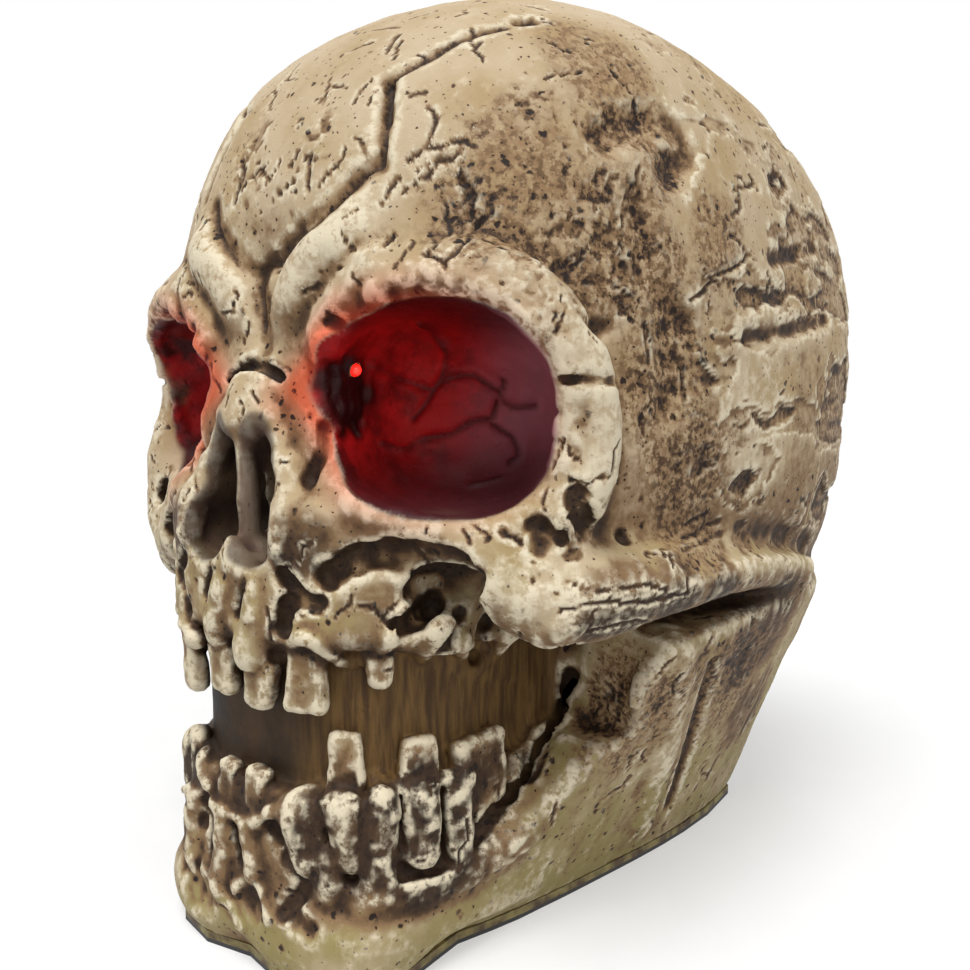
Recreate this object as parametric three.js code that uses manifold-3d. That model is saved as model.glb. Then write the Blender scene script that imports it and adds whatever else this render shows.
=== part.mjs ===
// Free-standing skull decoration with two red lamps in its eye sockets.
// Millimetres, +Z up, the face looks along -Y, +X is the skull's own left,
// z = 0 is the underside of the base.
import * as THREE from "three";
import { SimplifyModifier } from "three/addons/modifiers/SimplifyModifier.js";
import { mergeVertices } from "three/addons/utils/BufferGeometryUtils.js";
import Module from "manifold-3d";

const wasm = await Module();
wasm.setup();

// Fits
const GAP = 0.3;
const SCREW_GAP = 0.4;
const SLIDE_GAP = 0.5;

// Shells
const WALL = 4.2;
const FACE_WALL = 8.5;
const SEAM_Y = 78;
const PLATE_H = 5;
const SHELL_Z = PLATE_H + GAP;
const FOOT_SOFT = 8;
const FOOT_DROP = 3;
// The sculpted form is laid out this much higher than it stands on the base
const SINK = 12;
// Lowest height that the flares are worked out for
const FLARE_FROM = -20;

// Cranium: a rounded block tilted a little about X
const CRANIUM_AT = [0, 32.1, 257.9];
const CRANIUM_R = [142, 190.2, 167.5];
const CRANIUM_POWER = 2.58;
const CRANIUM_TILT = -6.7;
// Planes that flatten it: the sides below, the nape and the temples
const SIDE = { at: 84, flare: 0.36, slope: 0.93, soft: 20 };
const NAPE = { at: 138, flare: 0.55, slope: 0.87, soft: 40 };
const TEMPLE = { normal: [0.94, 0.05, 0.27], level: 270, at: 153, soft: 30 };

// Face block, sockets and hollows: centre, half sizes, power, turn about Z
const FACE_BLOCK = { at: [0, -78, 205], r: [118, 72, 84], n: 2.6, yaw: 0 };
const SOCKET = { at: [80, -133, 241], r: [43, 50, 40], n: 2.4, yaw: 29 };
const FOREHEAD = { at: [0, -174, 293], r: [52, 23, 46], n: 2.2, yaw: 0 };
const UNDER_CHEEK = { at: [102, -108, 158], r: [28, 36, 26], n: 2.2, yaw: 25 };
const UNDER_ARCH = { at: [132, -45, 150], r: [30, 70, 20], n: 2.2, yaw: 4 };
const CHEEK_HOLLOW = { at: [80, -123, 172], r: [23, 19, 12], n: 2.2, yaw: 35 };
const CHIN = { at: [34, -138, 31], r: [34, 33, 25], n: 2.4, yaw: 12 };
const NOSE_TOP = { at: [11, -164, 210], r: [9.5, 32, 28], n: 2, yaw: 0 };
const NOSE_LOW = { at: [15, -160, 193], r: [13, 26, 14], n: 2, yaw: 0 };

// Ridges: x, y, z of each point and the radius there
const BROW = [
  [14, -140, 261, 12.5],
  [13, -143, 273, 12.5],
  [18, -145, 284, 13],
  [29, -144, 296, 14],
  [45, -139, 307, 14],
  [57, -122, 328, 8],
];
const SOCKET_RIM = [
  [26, -139, 255, 9],
  [34, -141, 271, 9],
  [48, -141, 284, 9],
  [66, -138, 290, 9.5],
  [86, -132, 290, 11],
  [108, -121, 283, 13],
  [123, -107, 258, 12],
  [125, -101, 228, 11],
  [115, -110, 201, 13],
  [84, -126, 192, 10],
  [56, -140, 198, 9],
];
const CHEEK = [
  [58, -134, 190, 9],
  [92, -122, 181, 16],
  [116, -107, 171, 19],
  [130, -70, 172, 15],
  [135, -10, 171, 11],
  [132, 70, 161, 8],
];
const FAR_CHEEK = [
  [-127, -105, 238, 11],
  [-129, -107, 226, 13],
  [-130, -108, 212, 15],
  [-124, -110, 184, 17],
];
const NOSE_BONE = [
  [0, -138, 262, 12],
  [0, -148, 250, 14],
  [0, -157, 240, 11],
];
const NOSE_HALF = [
  [5, -148, 258, 6],
  [5.5, -157, 245, 8],
  [6, -162, 235, 6.5],
];
const NOSE_RIM = [
  [12, -159, 234, 5],
  [26, -155, 208, 6],
  [30, -154, 188, 6],
  [14, -163, 177, 7],
  [0, -166, 177, 7],
];
const SEPTUM = [
  [0, -164, 236, 4],
  [0, -160, 182, 4.5],
];
const JAW_RIDGE = [
  [72, -48, 97, 7],
  [70, -64, 84, 8],
  [71, -88, 64, 8],
  [66, -110, 50, 8],
  [57, -145, 47, 7],
];
// Grooves and narrow hollows, in the same way
const SOCKET_CORNER = [
  [50, -160, 252, 17],
  [29, -166, 250, 5],
];
const NASION = [
  [0, -158, 259, 5],
  [14, -154, 253, 4],
  [27, -150, 246, 3],
];
const BROW_GROOVE = [
  [0, -160, 266, 5],
  [0, -154, 292, 5],
  [23, -152, 310, 5],
  [44, -146, 325, 4],
  [52, -135, 345, 4],
];
const JAW_SLOT = [
  [76, -48, 142, 9],
  [76, -56, 112, 7],
  [75, -74, 76, 4],
];

// Radius of the blend where each form meets the rest
const SOFT = {
  face: 18,
  upperRow: 10,
  jaw: 12,
  forehead: 12,
  brow: 5,
  rim: 9,
  underCheek: 8,
  underArch: 10,
  cheek: 12,
  farCheek: 8,
  hollow: 5,
  neck: 20,
  chin: 12,
  ledge: 8,
  lowerRow: 8,
  lowerJaw: 7,
  body: 10,
  core: 6,
  ridge: 6,
  corner: 14,
  socket: 6,
  throat: 8,
  lip: 3,
  mouthEnd: 6,
  mouth: 5,
  slot: 4,
  noseRim: 6,
  nostrils: 6,
  noseHole: 4,
  noseBone: 8,
  noseHalf: 4,
  nasion: 3,
  groove: 4,
  septum: 4,
  root: 4,
  tooth: 2.5,
};

// Tooth rows: half width and depth of the U, and the y at which its straight sides begin
const ROW_HALF = 77;
const ROW_DEPTH = 98;
const ROW_BACK = -76;
const ROW_POWER = 3;
const MOUTH_Z = 119;
const MOUTH_HALF = 24;
const MOUTH_BACK = -44;
const MOUTH_WALL_IN = 12;
const MOUTH_TILT = 0.05;
const MOUTH_TILT_Y = -120;
const MOUTH_SIDE = 112;
// Blocks that carry the rows: middle height, half height, back end, distance inside the U
const UPPER_JAW = { z: 178, half: 30, back: -50, inset: 0 };
const LOWER_JAW = { z: 58, half: 34, back: -62, inset: 4 };
// The wall behind the teeth runs from the middle of one block to the middle of the other
const MOUTH_CORE = {
  z: (UPPER_JAW.z + LOWER_JAW.z) / 2,
  half: (UPPER_JAW.z - LOWER_JAW.z) / 2,
  back: -30,
  inset: MOUTH_WALL_IN,
};

// Teeth: x, y, z at the gum, z of the free end, radius at the gum and at the end, lean in x
const UPPER_TEETH = [
  [-74, -112, 152, 136, 7, 6, 0],
  [-66, -136, 151, 130, 7.5, 6.5, 0],
  [-54, -152, 150, 131, 6.5, 5.5, 1],
  [-39, -163, 147, 119, 6.5, 6, 3],
  [-16, -167, 144, 124, 8, 7.5, 1],
  [8, -167, 142, 123, 8, 7, 1],
  [35, -163, 148, 127, 8, 8, -2],
  [57, -145, 149, 136, 6.5, 5.5, 0],
];
const LOWER_TEETH = [
  [-70, -100, 84, 108, 8, 6, 0],
  [-62, -130, 84, 104, 8, 6, 0],
  [-42, -158, 82, 100, 6.5, 5.5, 0],
  [-13, -165, 76, 94, 7, 7, 2],
  [4, -164, 76, 93, 7, 6.5, 4],
  [44, -154, 90, 115, 6.5, 4.5, -1],
  [61, -131, 88, 109, 6.5, 6, -1],
  [65, -102, 84, 102, 9, 8, 0],
];
// Roots, in the same way
const UPPER_ROOTS = [
  [-77, -100, 156, 176, 7, 7, 0],
  [-70, -128, 152, 178, 7, 7, 0],
  [-58, -150, 150, 178, 7, 7, 0],
  [-42, -163, 147, 170, 5.5, 5, 14],
  [-10, -170, 150, 170, 6, 6, 8],
  [12, -169, 146, 169, 8, 6, 5],
  [34, -166, 152, 176, 7, 7, 0],
  [54, -156, 152, 174, 8, 8, 0],
  [70, -132, 154, 172, 8, 8, 0],
];
const LOWER_ROOTS = [
  [-75, -90, 62, 90, 6, 7, 0],
  [-70, -120, 54, 89, 6, 7, 0],
  [-58, -148, 48, 87, 6.5, 7.5, 0],
  [-35, -165, 45, 72, 6, 6, 0],
  [-11, -168, 42, 69, 6, 6, 0],
  [9, -169, 56, 71, 5, 5, -3],
  [37, -164, 62, 83, 5, 9, -5],
  [52, -155, 66, 87, 5, 8, -3],
  [58, -148, 54, 89, 7, 6, 1],
  [65, -131, 65, 86, 7, 8, -1],
  [69, -114, 60, 85, 6, 6.5, 0],
];

// Lower body: half width at z = 0, its growth upwards and backwards, front and back reach from y = BODY_Y
const BODY_HALF = 64.8;
const BODY_LEAST = 20;
const BODY_FLARE = 0.47;
const BODY_TAPER = 0.1;
const BODY_Y = -20;
const BODY_FRONT = 143;
const BODY_BACK = 200;
const BODY_POWER = 2.7;
const BODY_REACH_FLARE = 0.12;
const NECK_BACK = 140;
const NECK_FLARE = 0.3;
const NECK_SLOPE = 0.95;
// Height of the jaw's upper edge against y
const LEDGE_Y = [-180, -135, -105, -84, -64, -52, -40, 40];
const LEDGE_Z = [48, 46, 52, 70, 94, 126, 142, 150];
const LEDGE_SLOPE = 0.72;

// Lamps
const LED_R = 2.5;
const LED_AT = [36.6, -136, 255.8];
const LED_AXIS = [0.9, -0.35, -0.12];
const LED_PROUD = 2;
const LED_LONG = 8.8;
const FLANGE_R = 2.9;
const FLANGE_H = 1;
const LAMP_BOSS_R = 8;
const LAMP_BOSS_LONG = 16;
const BORE_BACK = 30;
const BORE_FRONT = 8;
const CLIP_R = 5;
const CLIP_H = 3;
const LEAD_R = 1.2;
// Route of the left lamp's lead, and its steps
const LAMP_ROUTE = [
  [14, -104, 250],
  [18, -64, 238],
  [18, -34, 188],
  [18, -24, 118],
  [17, -24, 60],
  [12.4, -34.5, 32],
];
const LEAD_STRAIGHT = 10;
const LAMP_LEAD_X = 12;
const LAMP_LEAD_STEPS = 28;

// Base, its screws and posts
const PLATE_IN = 1.2;
const PLATE_FIT_Z = 3;
const OUTLINE_STEPS = 40;
const POSTS_FRONT = [
  [44, -92],
  [57, 10],
];
const POSTS_REAR = [[62, 112]];
const POST_R = 8;
const POST_H = 22;
const POST_RIB_LONG = 24;
const POST_RIB_HALF = 1.5;
const SCREW_R = 1.7;
const SCREW_LONG = 16;
const HEAD_R = 3.5;
const HEAD_H = 2.2;
const HEAD_SUNK = 0.4;

// Battery box, door and cells
const BOX_Y = 47;
const CELL_R = 7.1;
const CELL_LONG = 49.2;
const CELL_PITCH = 14.8;
const NUB_R = 2.7;
const NUB_H = 1.3;
const SPRING_LONG = 6.4;
const SPRING_TURNS = 2;
const SPRING_WIRE_R = 0.4;
const SPRING_BASE_R = 4.4;
const SPRING_TOP_R = 2.4;
const CONTACT_T = 0.5;
const BOX_WALL = 1.6;
const BOX_IN_X = 2 * CELL_PITCH + 2 * CELL_R + 2 * GAP;
const BOX_IN_Y = CELL_LONG + NUB_H + SPRING_LONG + 2 * CONTACT_T + 5 * GAP;
const BOX_SPARE_Z = 1;
const BOX_IN_Z = 2 * CELL_R + BOX_SPARE_Z;
const DOOR_T = 2.3;
const DOOR_HALF = 25.5;
const DOOR_Z = GAP;
const RECESS_LIP_FRONT = 9.3;
const RECESS_LIP_BACK = 3.3;
const RECESS_FRONT = BOX_Y - BOX_IN_Y / 2 - RECESS_LIP_FRONT;
const RECESS_BACK = BOX_Y + BOX_IN_Y / 2 + RECESS_LIP_BACK;
const DOOR_FRONT = RECESS_FRONT + SLIDE_GAP;
const HINGE_IN = 1.7;
const HINGE_Y = RECESS_BACK - HINGE_IN;
const DOOR_SCREW_IN = 4.4;
const DOOR_SCREW_Y = RECESS_FRONT + DOOR_SCREW_IN;
const DOOR_SCREW_OUT = 1.2;
const DOOR_SCREW_R = 1.1;
const DOOR_HEAD_R = 2.4;
const DOOR_HEAD_H = 1.2;
// Grip grooves of the door: count, first one behind the middle, pitch, half length, half width, depth
const GRIP = { count: 5, from: 11, pitch: 3, long: 9, wide: 0.6, deep: 0.6 };
const TAB_HALF = 2;
const TAB_H = 4;
const CELL_EDGE = 0.5;
const STRIP_IN = 0.5;
// Wires from the box: radius, bend at the tab, way past the box's corner, end on the board
const CELL_LEAD_R = 0.9;
const CELL_LEAD_BEND = [1, 5, 1];
const CELL_LEAD_CORNER = [17, 8];
const CELL_LEAD_END = [9, 12];
const CELL_LEAD_DROP = [0.5, 10];

// Circuit board and its switch
const BOARD = [46, 30, 1.6];
const BOARD_Y = -36;
const SWITCH_BODY = [7, 13, 5.5];
const KNOB = [3.6, 4, 4.2];
const KNOB_TRAVEL = 4;
const KNOB_Z = 0.9;
const STEM = [2.2, 2.6, 2.4];
const STEM_ROOT = 1;
const STANDOFF_R = 3.2;
const STANDOFF_X = 18;
const STANDOFF_ROOT = 0.5;
const BOARD_SCREW_R = 1;
const BOARD_SCREW_DEEP = 1.4;
const BOARD_BORE_DEEP = 2;
const BOARD_HEAD_R = 2.2;
const BOARD_HEAD_H = 1.6;
const STANDOFF_EDGE = 5;
const CHIP = { x: 4, y0: 3, y1: 10, h: 1.8 };
const CAPACITOR = { x: -13, y: -6, r: 3.2, h: 7 };
const KNOB_RIBS = [-1.2, 0, 1.2];
const KNOB_RIB_HALF = 0.25;
const KNOB_RIB_DEEP = 0.5;

// Grids that the shells are taken from: room round the form, steps, and where the fine step ends
const ROOM = 28;
const REACH_X = CRANIUM_R[0] + ROOM;
const FRONT_Y = Math.min(ROW_BACK - ROW_DEPTH, CRANIUM_AT[1] - CRANIUM_R[1]) - ROOM;
const BACK_Y = CRANIUM_AT[1] + CRANIUM_R[1] + ROOM;
const TOP_Z = CRANIUM_AT[2] + CRANIUM_R[2] + ROOM - SINK;
const SEAM_OVER = 40;
const FACE_STEP = 6.6;
const FACE_STEP_TO_Y = -40;
const FACE_STEP_TO_Z = 300;
const FRONT_STEP = 10;
const REAR_STEP = 14;
const FACE_HOLLOW_STEP = 13;
const REAR_HOLLOW_STEP = 20;
// Share of a grid cell kept free at its edges, and the value given to a corner that is put out
const CELL_FREE = 0.04;
const FAINT = 0.05;
// Overlap of bodies that are joined, and how far cuts run past what they cut
const JOINED = 0.2;
const THROUGH = 1;
// Triangles left in each surface of the shells
const FACE_OUT_TRIANGLES = 5900;
const FACE_IN_TRIANGLES = 1300;
const REAR_OUT_TRIANGLES = 1000;
const REAR_IN_TRIANGLES = 440;

// Distances to simple bodies, negative inside
const clamp = (v, a, b) => Math.min(b, Math.max(a, v));
const rad = (deg) => (deg * Math.PI) / 180;

function softMin(a, b, k) {
  const h = clamp(0.5 + (0.5 * (b - a)) / k, 0, 1);
  return b + (a - b) * h - k * h * (1 - h);
}

const softMax = (a, b, k) => -softMin(-a, -b, k);

function egg(x, y, z, e) {
  let px = x - e.at[0];
  let py = y - e.at[1];
  let pz = z - e.at[2];
  if (e.yaw) {
    const c = Math.cos(rad(e.yaw));
    const s = Math.sin(rad(e.yaw));
    [px, py] = [c * px + s * py, -s * px + c * py];
  }
  if (e.tilt) {
    const c = Math.cos(rad(e.tilt));
    const s = Math.sin(rad(e.tilt));
    [py, pz] = [c * py + s * pz, -s * py + c * pz];
  }
  const q = [Math.abs(px) / e.r[0], Math.abs(py) / e.r[1], Math.abs(pz) / e.r[2]];
  const p = q.map((v) => v ** (e.n - 1));
  const sum = p[0] * q[0] + p[1] * q[1] + p[2] * q[2] + 1e-9;
  const k = sum ** (1 / e.n);
  const slope = (Math.hypot(p[0] / e.r[0], p[1] / e.r[1], p[2] / e.r[2]) * k) / sum + 1e-6;
  return (k - 1) / slope;
}

function rod(x, y, z, a, b) {
  const dx = b[0] - a[0];
  const dy = b[1] - a[1];
  const dz = b[2] - a[2];
  const along = ((x - a[0]) * dx + (y - a[1]) * dy + (z - a[2]) * dz) / (dx * dx + dy * dy + dz * dz);
  const t = clamp(along, 0, 1);
  const off = Math.hypot(x - a[0] - t * dx, y - a[1] - t * dy, z - a[2] - t * dz);
  return off - (a[3] + (b[3] - a[3]) * t);
}

function rope(x, y, z, points) {
  let d = Infinity;
  for (let i = 0; i + 1 < points.length; i++) d = Math.min(d, rod(x, y, z, points[i], points[i + 1]));
  return d;
}

function rounded(points, parts) {
  const out = [];
  for (let i = 0; i + 1 < points.length; i++) {
    const a = points[Math.max(i - 1, 0)];
    const b = points[i];
    const c = points[i + 1];
    const d = points[Math.min(i + 2, points.length - 1)];
    for (let j = 0; j < parts; j++) {
      const t = j / parts;
      const blend = (k) =>
        0.5 *
        (2 * b[k] +
          (c[k] - a[k]) * t +
          (2 * a[k] - 5 * b[k] + 4 * c[k] - d[k]) * t * t +
          (3 * b[k] - a[k] - 3 * c[k] + d[k]) * t ** 3);
      out.push([0, 1, 2, 3].map(blend));
    }
  }
  out.push(points[points.length - 1]);
  return out;
}

function ramp(v, xs, ys) {
  if (v <= xs[0]) return ys[0];
  for (let i = 1; i < xs.length; i++) {
    if (v <= xs[i]) return ys[i - 1] + ((ys[i] - ys[i - 1]) * (v - xs[i - 1])) / (xs[i] - xs[i - 1]);
  }
  return ys[ys.length - 1];
}

// The U of the tooth rows seen from above
function rowPlan(x, y, grow) {
  const hx = ROW_HALF + grow;
  const hy = ROW_DEPTH + grow;
  const qx = Math.abs(x) / hx;
  const qy = Math.max(ROW_BACK - y, 0) / hy;
  const k = (qx ** ROW_POWER + qy ** ROW_POWER + 1e-9) ** (1 / ROW_POWER);
  return (k - 1) * (y < ROW_BACK ? 0.5 * (hx + hy) : hx);
}

// A tooth or root as a tapered rod
const peg = ([x, y, from, to, r, tip, lean]) => [
  [x, y, from, r],
  [x + lean, y, to, tip],
];
const teeth = [...UPPER_TEETH, ...LOWER_TEETH].map(peg);
const roots = [...UPPER_ROOTS, ...LOWER_ROOTS].map(peg);

const browPath = rounded(BROW, 3);
const rimPath = rounded(SOCKET_RIM, 3);
const cheekPath = rounded(CHEEK, 3);
const noseRimPath = rounded(NOSE_RIM, 3);
const groovePath = rounded(BROW_GROOVE, 3);
const ridgePath = rounded(JAW_RIDGE, 3);
const cranium = { at: CRANIUM_AT, r: CRANIUM_R, n: CRANIUM_POWER, tilt: CRANIUM_TILT };

function lowerBody(x, y, z) {
  const h = Math.max(z, FLARE_FROM);
  const half = Math.max(BODY_HALF + BODY_FLARE * h + BODY_TAPER * (y - BODY_Y), BODY_LEAST);
  const reach = y < BODY_Y ? BODY_FRONT + BODY_REACH_FLARE * h : BODY_BACK;
  const k = ((x / half) ** BODY_POWER + (Math.abs(y - BODY_Y) / reach) ** BODY_POWER) ** (1 / BODY_POWER);
  let d = (k - 1) * Math.min(half, reach);
  d = softMax(d, (y - NECK_BACK - NECK_FLARE * z) * NECK_SLOPE, SOFT.neck);
  d = softMin(d, egg(x, y, z, CHIN), SOFT.chin);
  return softMax(d, (z - ramp(y, LEDGE_Y, LEDGE_Z)) * LEDGE_SLOPE, SOFT.ledge);
}

// A block that follows the U of a tooth row
function rowBlock(x, y, z, e, soft) {
  const plan = softMax(rowPlan(x, y, -e.inset), Math.abs(z - e.z) - e.half, soft);
  return softMax(plan, y - e.back, soft);
}

const nearest = (x, y, z, rods) =>
  rods.reduce((best, t) => Math.min(best, rod(x, y, z, t[0], t[1])), Infinity);

const mirrored = (x) => Math.sqrt(x * x + 4);

function braincase(x, y, z) {
  let d = egg(x, y, z, cranium);
  d = softMax(d, (x - SIDE.at - SIDE.flare * Math.max(z, FLARE_FROM)) * SIDE.slope, SIDE.soft);
  d = softMax(d, (y - NAPE.at - NAPE.flare * z) * NAPE.slope, NAPE.soft);
  const [tx, ty, tz] = TEMPLE.normal;
  return softMax(d, tx * x + ty * y + tz * (z - TEMPLE.level) - TEMPLE.at, TEMPLE.soft);
}

function mouthGap(x, y, z) {
  const core = softMax(rowPlan(x, y, -MOUTH_WALL_IN), y - MOUTH_CORE.back, SOFT.throat);
  const middle = MOUTH_Z + MOUTH_TILT * (y - MOUTH_TILT_Y);
  const slit = softMax(Math.abs(z - middle) - MOUTH_HALF, -core, SOFT.lip);
  return softMax(softMax(slit, y - MOUTH_BACK, SOFT.mouthEnd), x - MOUTH_SIDE, SOFT.mouthEnd);
}

const sockets = (x, y, z) => softMin(egg(x, y, z, SOCKET), rope(x, y, z, SOCKET_CORNER), SOFT.corner);
const nostrils = (x, y, z) => softMin(egg(x, y, z, NOSE_TOP), egg(x, y, z, NOSE_LOW), SOFT.nostrils);

// The sculpted form
function form(sx, y, z) {
  const x = mirrored(sx);
  let d = braincase(x, y, z);
  d = softMin(d, egg(x, y, z, FACE_BLOCK), SOFT.face);
  d = softMin(d, rowBlock(x, y, z, UPPER_JAW, SOFT.upperRow), SOFT.jaw);
  d = softMax(d, -egg(x, y, z, FOREHEAD), SOFT.forehead);
  d = softMin(d, rope(x, y, z, browPath), SOFT.brow);
  d = softMin(d, rope(x, y, z, rimPath), SOFT.rim);
  d = softMax(d, -egg(x, y, z, UNDER_CHEEK), SOFT.underCheek);
  d = softMax(d, -egg(x, y, z, UNDER_ARCH), SOFT.underArch);
  d = softMin(d, rope(x, y, z, cheekPath), SOFT.cheek);
  d = softMin(d, rope(sx, y, z, FAR_CHEEK), SOFT.farCheek);
  d = softMax(d, -egg(x, y, z, CHEEK_HOLLOW), SOFT.hollow);
  const lowerJaw = softMin(lowerBody(x, y, z), rowBlock(x, y, z, LOWER_JAW, SOFT.lowerRow), SOFT.lowerJaw);
  d = softMin(d, softMin(lowerJaw, rope(x, y, z, ridgePath), SOFT.ridge), SOFT.body);
  d = Math.min(d, rowBlock(x, y, z, MOUTH_CORE, SOFT.core));
  d = softMax(d, -sockets(x, y, z), SOFT.socket);
  d = softMax(d, -mouthGap(x, y, z), SOFT.mouth);
  d = softMax(d, -rope(x, y, z, JAW_SLOT), SOFT.slot);
  d = softMin(d, rope(x, y, z, noseRimPath), SOFT.noseRim);
  d = softMax(d, -nostrils(x, y, z), SOFT.noseHole);
  d = softMin(d, rope(x, y, z, NOSE_BONE), SOFT.noseBone);
  d = softMin(d, rope(x, y, z, NOSE_HALF), SOFT.noseHalf);
  d = softMax(d, -rope(x, y, z, NASION), SOFT.nasion);
  d = softMax(d, -rope(x, y, z, groovePath), SOFT.groove);
  d = softMin(d, rope(x, y, z, SEPTUM), SOFT.septum);
  d = softMin(d, nearest(sx, y, z, roots), SOFT.root);
  return softMin(d, nearest(sx, y, z, teeth), SOFT.tooth);
}

const outside = (x, y, z) => softMax(form(x, y, z + SINK), SHELL_Z - FOOT_DROP - z, FOOT_SOFT);

// The space inside: braincase and neck, a wall away from every hollow of the face
function hollow(sx, y, z) {
  const x = mirrored(sx);
  let d = softMin(braincase(x, y, z), lowerBody(x, y, z), SOFT.body) + WALL;
  for (const e of [UNDER_CHEEK, UNDER_ARCH, CHEEK_HOLLOW, FOREHEAD]) {
    d = softMax(d, FACE_WALL - egg(x, y, z, e), SOFT.hollow);
  }
  d = softMax(d, FACE_WALL - sockets(x, y, z), SOFT.hollow);
  d = softMax(d, FACE_WALL - nostrils(x, y, z), SOFT.hollow);
  d = softMax(d, FACE_WALL - mouthGap(x, y, z), SOFT.mouth);
  return softMax(d, FACE_WALL - rope(x, y, z, JAW_SLOT), SOFT.slot);
}

const inside = (x, y, z) => hollow(x, y, z + SINK);

// Grid lines with their own steps: pairs of end and step
function lines(start, spans) {
  const out = [start];
  for (const [end, step] of spans) {
    const from = out[out.length - 1];
    const count = Math.max(1, Math.round((end - from) / step));
    for (let i = 1; i <= count; i++) out.push(from + ((end - from) * i) / count);
  }
  return out;
}

// A closed surface where value crosses zero, one vertex in each grid cell that it passes,
// thinned where it is smooth until the given number of triangles is left
async function skin(value, gx, gy, gz, triangles) {
  const nx = gx.length;
  const ny = gy.length;
  const nz = gz.length;
  const at = (i, j, k) => (k * ny + j) * nx + i;
  const v = new Float64Array(nx * ny * nz);
  for (let k = 0; k < nz; k++) {
    for (let j = 0; j < ny; j++) {
      for (let i = 0; i < nx; i++) {
        const edge = i === 0 || j === 0 || k === 0 || i === nx - 1 || j === ny - 1 || k === nz - 1;
        v[at(i, j, k)] = edge ? 1 : value(gx[i], gy[j], gz[k]) || 1e-6;
      }
    }
  }
  untangle(v, nx, ny, nz, at);
  const points = [];
  const cell = new Int32Array(nx * ny * nz).fill(-1);
  for (let k = 0; k + 1 < nz; k++) {
    for (let j = 0; j + 1 < ny; j++) {
      for (let i = 0; i + 1 < nx; i++) {
        const p = cellPoint(v, at, i, j, k, gx, gy, gz);
        if (!p) continue;
        cell[at(i, j, k)] = points.length / 3;
        points.push(...p);
      }
    }
  }
  const faces = [];
  const quad = (a, b, c, d, flip) => {
    if (flip) faces.push(a, c, b, a, d, c);
    else faces.push(a, b, c, a, c, d);
  };
  for (let k = 0; k + 1 < nz; k++) {
    for (let j = 0; j + 1 < ny; j++) {
      for (let i = 0; i + 1 < nx; i++) {
        const here = v[at(i, j, k)] < 0;
        if (j && k && here !== v[at(i + 1, j, k)] < 0) {
          quad(
            cell[at(i, j - 1, k - 1)],
            cell[at(i, j, k - 1)],
            cell[at(i, j, k)],
            cell[at(i, j - 1, k)],
            !here,
          );
        }
        if (i && k && here !== v[at(i, j + 1, k)] < 0) {
          quad(
            cell[at(i - 1, j, k - 1)],
            cell[at(i - 1, j, k)],
            cell[at(i, j, k)],
            cell[at(i, j, k - 1)],
            !here,
          );
        }
        if (i && j && here !== v[at(i, j, k + 1)] < 0) {
          quad(
            cell[at(i - 1, j - 1, k)],
            cell[at(i, j - 1, k)],
            cell[at(i, j, k)],
            cell[at(i - 1, j, k)],
            !here,
          );
        }
      }
    }
  }
  const surface = largest(points, faces);
  const spare = (surface.index.count / 3 - triangles) / 2;
  return solid(await new SimplifyModifier().modify(surface, spare));
}

const CORNERS = [0, 1, 2, 3, 4, 5, 6, 7].map((c) => [c & 1, (c >> 1) & 1, c >> 2]);
const EDGES = [];
for (let a = 0; a < 8; a++) {
  for (const bit of [1, 2, 4]) {
    if (!(a & bit)) EDGES.push([a, a | bit]);
  }
}

function cellPoint(v, at, i, j, k, gx, gy, gz) {
  const vals = CORNERS.map(([a, b, c]) => v[at(i + a, j + b, k + c)]);
  const sum = [0, 0, 0];
  let count = 0;
  for (const [a, b] of EDGES) {
    if (vals[a] < 0 === vals[b] < 0) continue;
    const t = vals[a] / (vals[a] - vals[b]);
    for (let n = 0; n < 3; n++) sum[n] += CORNERS[a][n] + t * (CORNERS[b][n] - CORNERS[a][n]);
    count++;
  }
  if (!count) return null;
  const [u, w, s] = sum.map((n) => clamp(n / count, CELL_FREE, 1 - CELL_FREE));
  return [
    gx[i] + u * (gx[i + 1] - gx[i]),
    gy[j] + w * (gy[j + 1] - gy[j]),
    gz[k] + s * (gz[k + 1] - gz[k]),
  ];
}

// Faces of the grid whose inner corners sit on a diagonal would give edges shared four ways:
// the fainter corner goes out
function untangle(v, nx, ny, nz, at) {
  const spans = [
    [
      [1, 0, 0],
      [0, 1, 0],
    ],
    [
      [0, 1, 0],
      [0, 0, 1],
    ],
    [
      [0, 0, 1],
      [1, 0, 0],
    ],
  ];
  let changed = true;
  while (changed) {
    changed = false;
    for (let k = 0; k + 1 < nz; k++) {
      for (let j = 0; j + 1 < ny; j++) {
        for (let i = 0; i + 1 < nx; i++) {
          for (const [p, q] of spans) {
            const a = at(i, j, k);
            const b = at(i + p[0], j + p[1], k + p[2]);
            const c = at(i + p[0] + q[0], j + p[1] + q[1], k + p[2] + q[2]);
            const d = at(i + q[0], j + q[1], k + q[2]);
            if (v[a] < 0 && v[c] < 0 && v[b] >= 0 && v[d] >= 0) {
              v[v[a] > v[c] ? a : c] = FAINT;
              changed = true;
            } else if (v[b] < 0 && v[d] < 0 && v[a] >= 0 && v[c] >= 0) {
              v[v[b] > v[d] ? b : d] = FAINT;
              changed = true;
            }
          }
        }
      }
    }
  }
}

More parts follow.
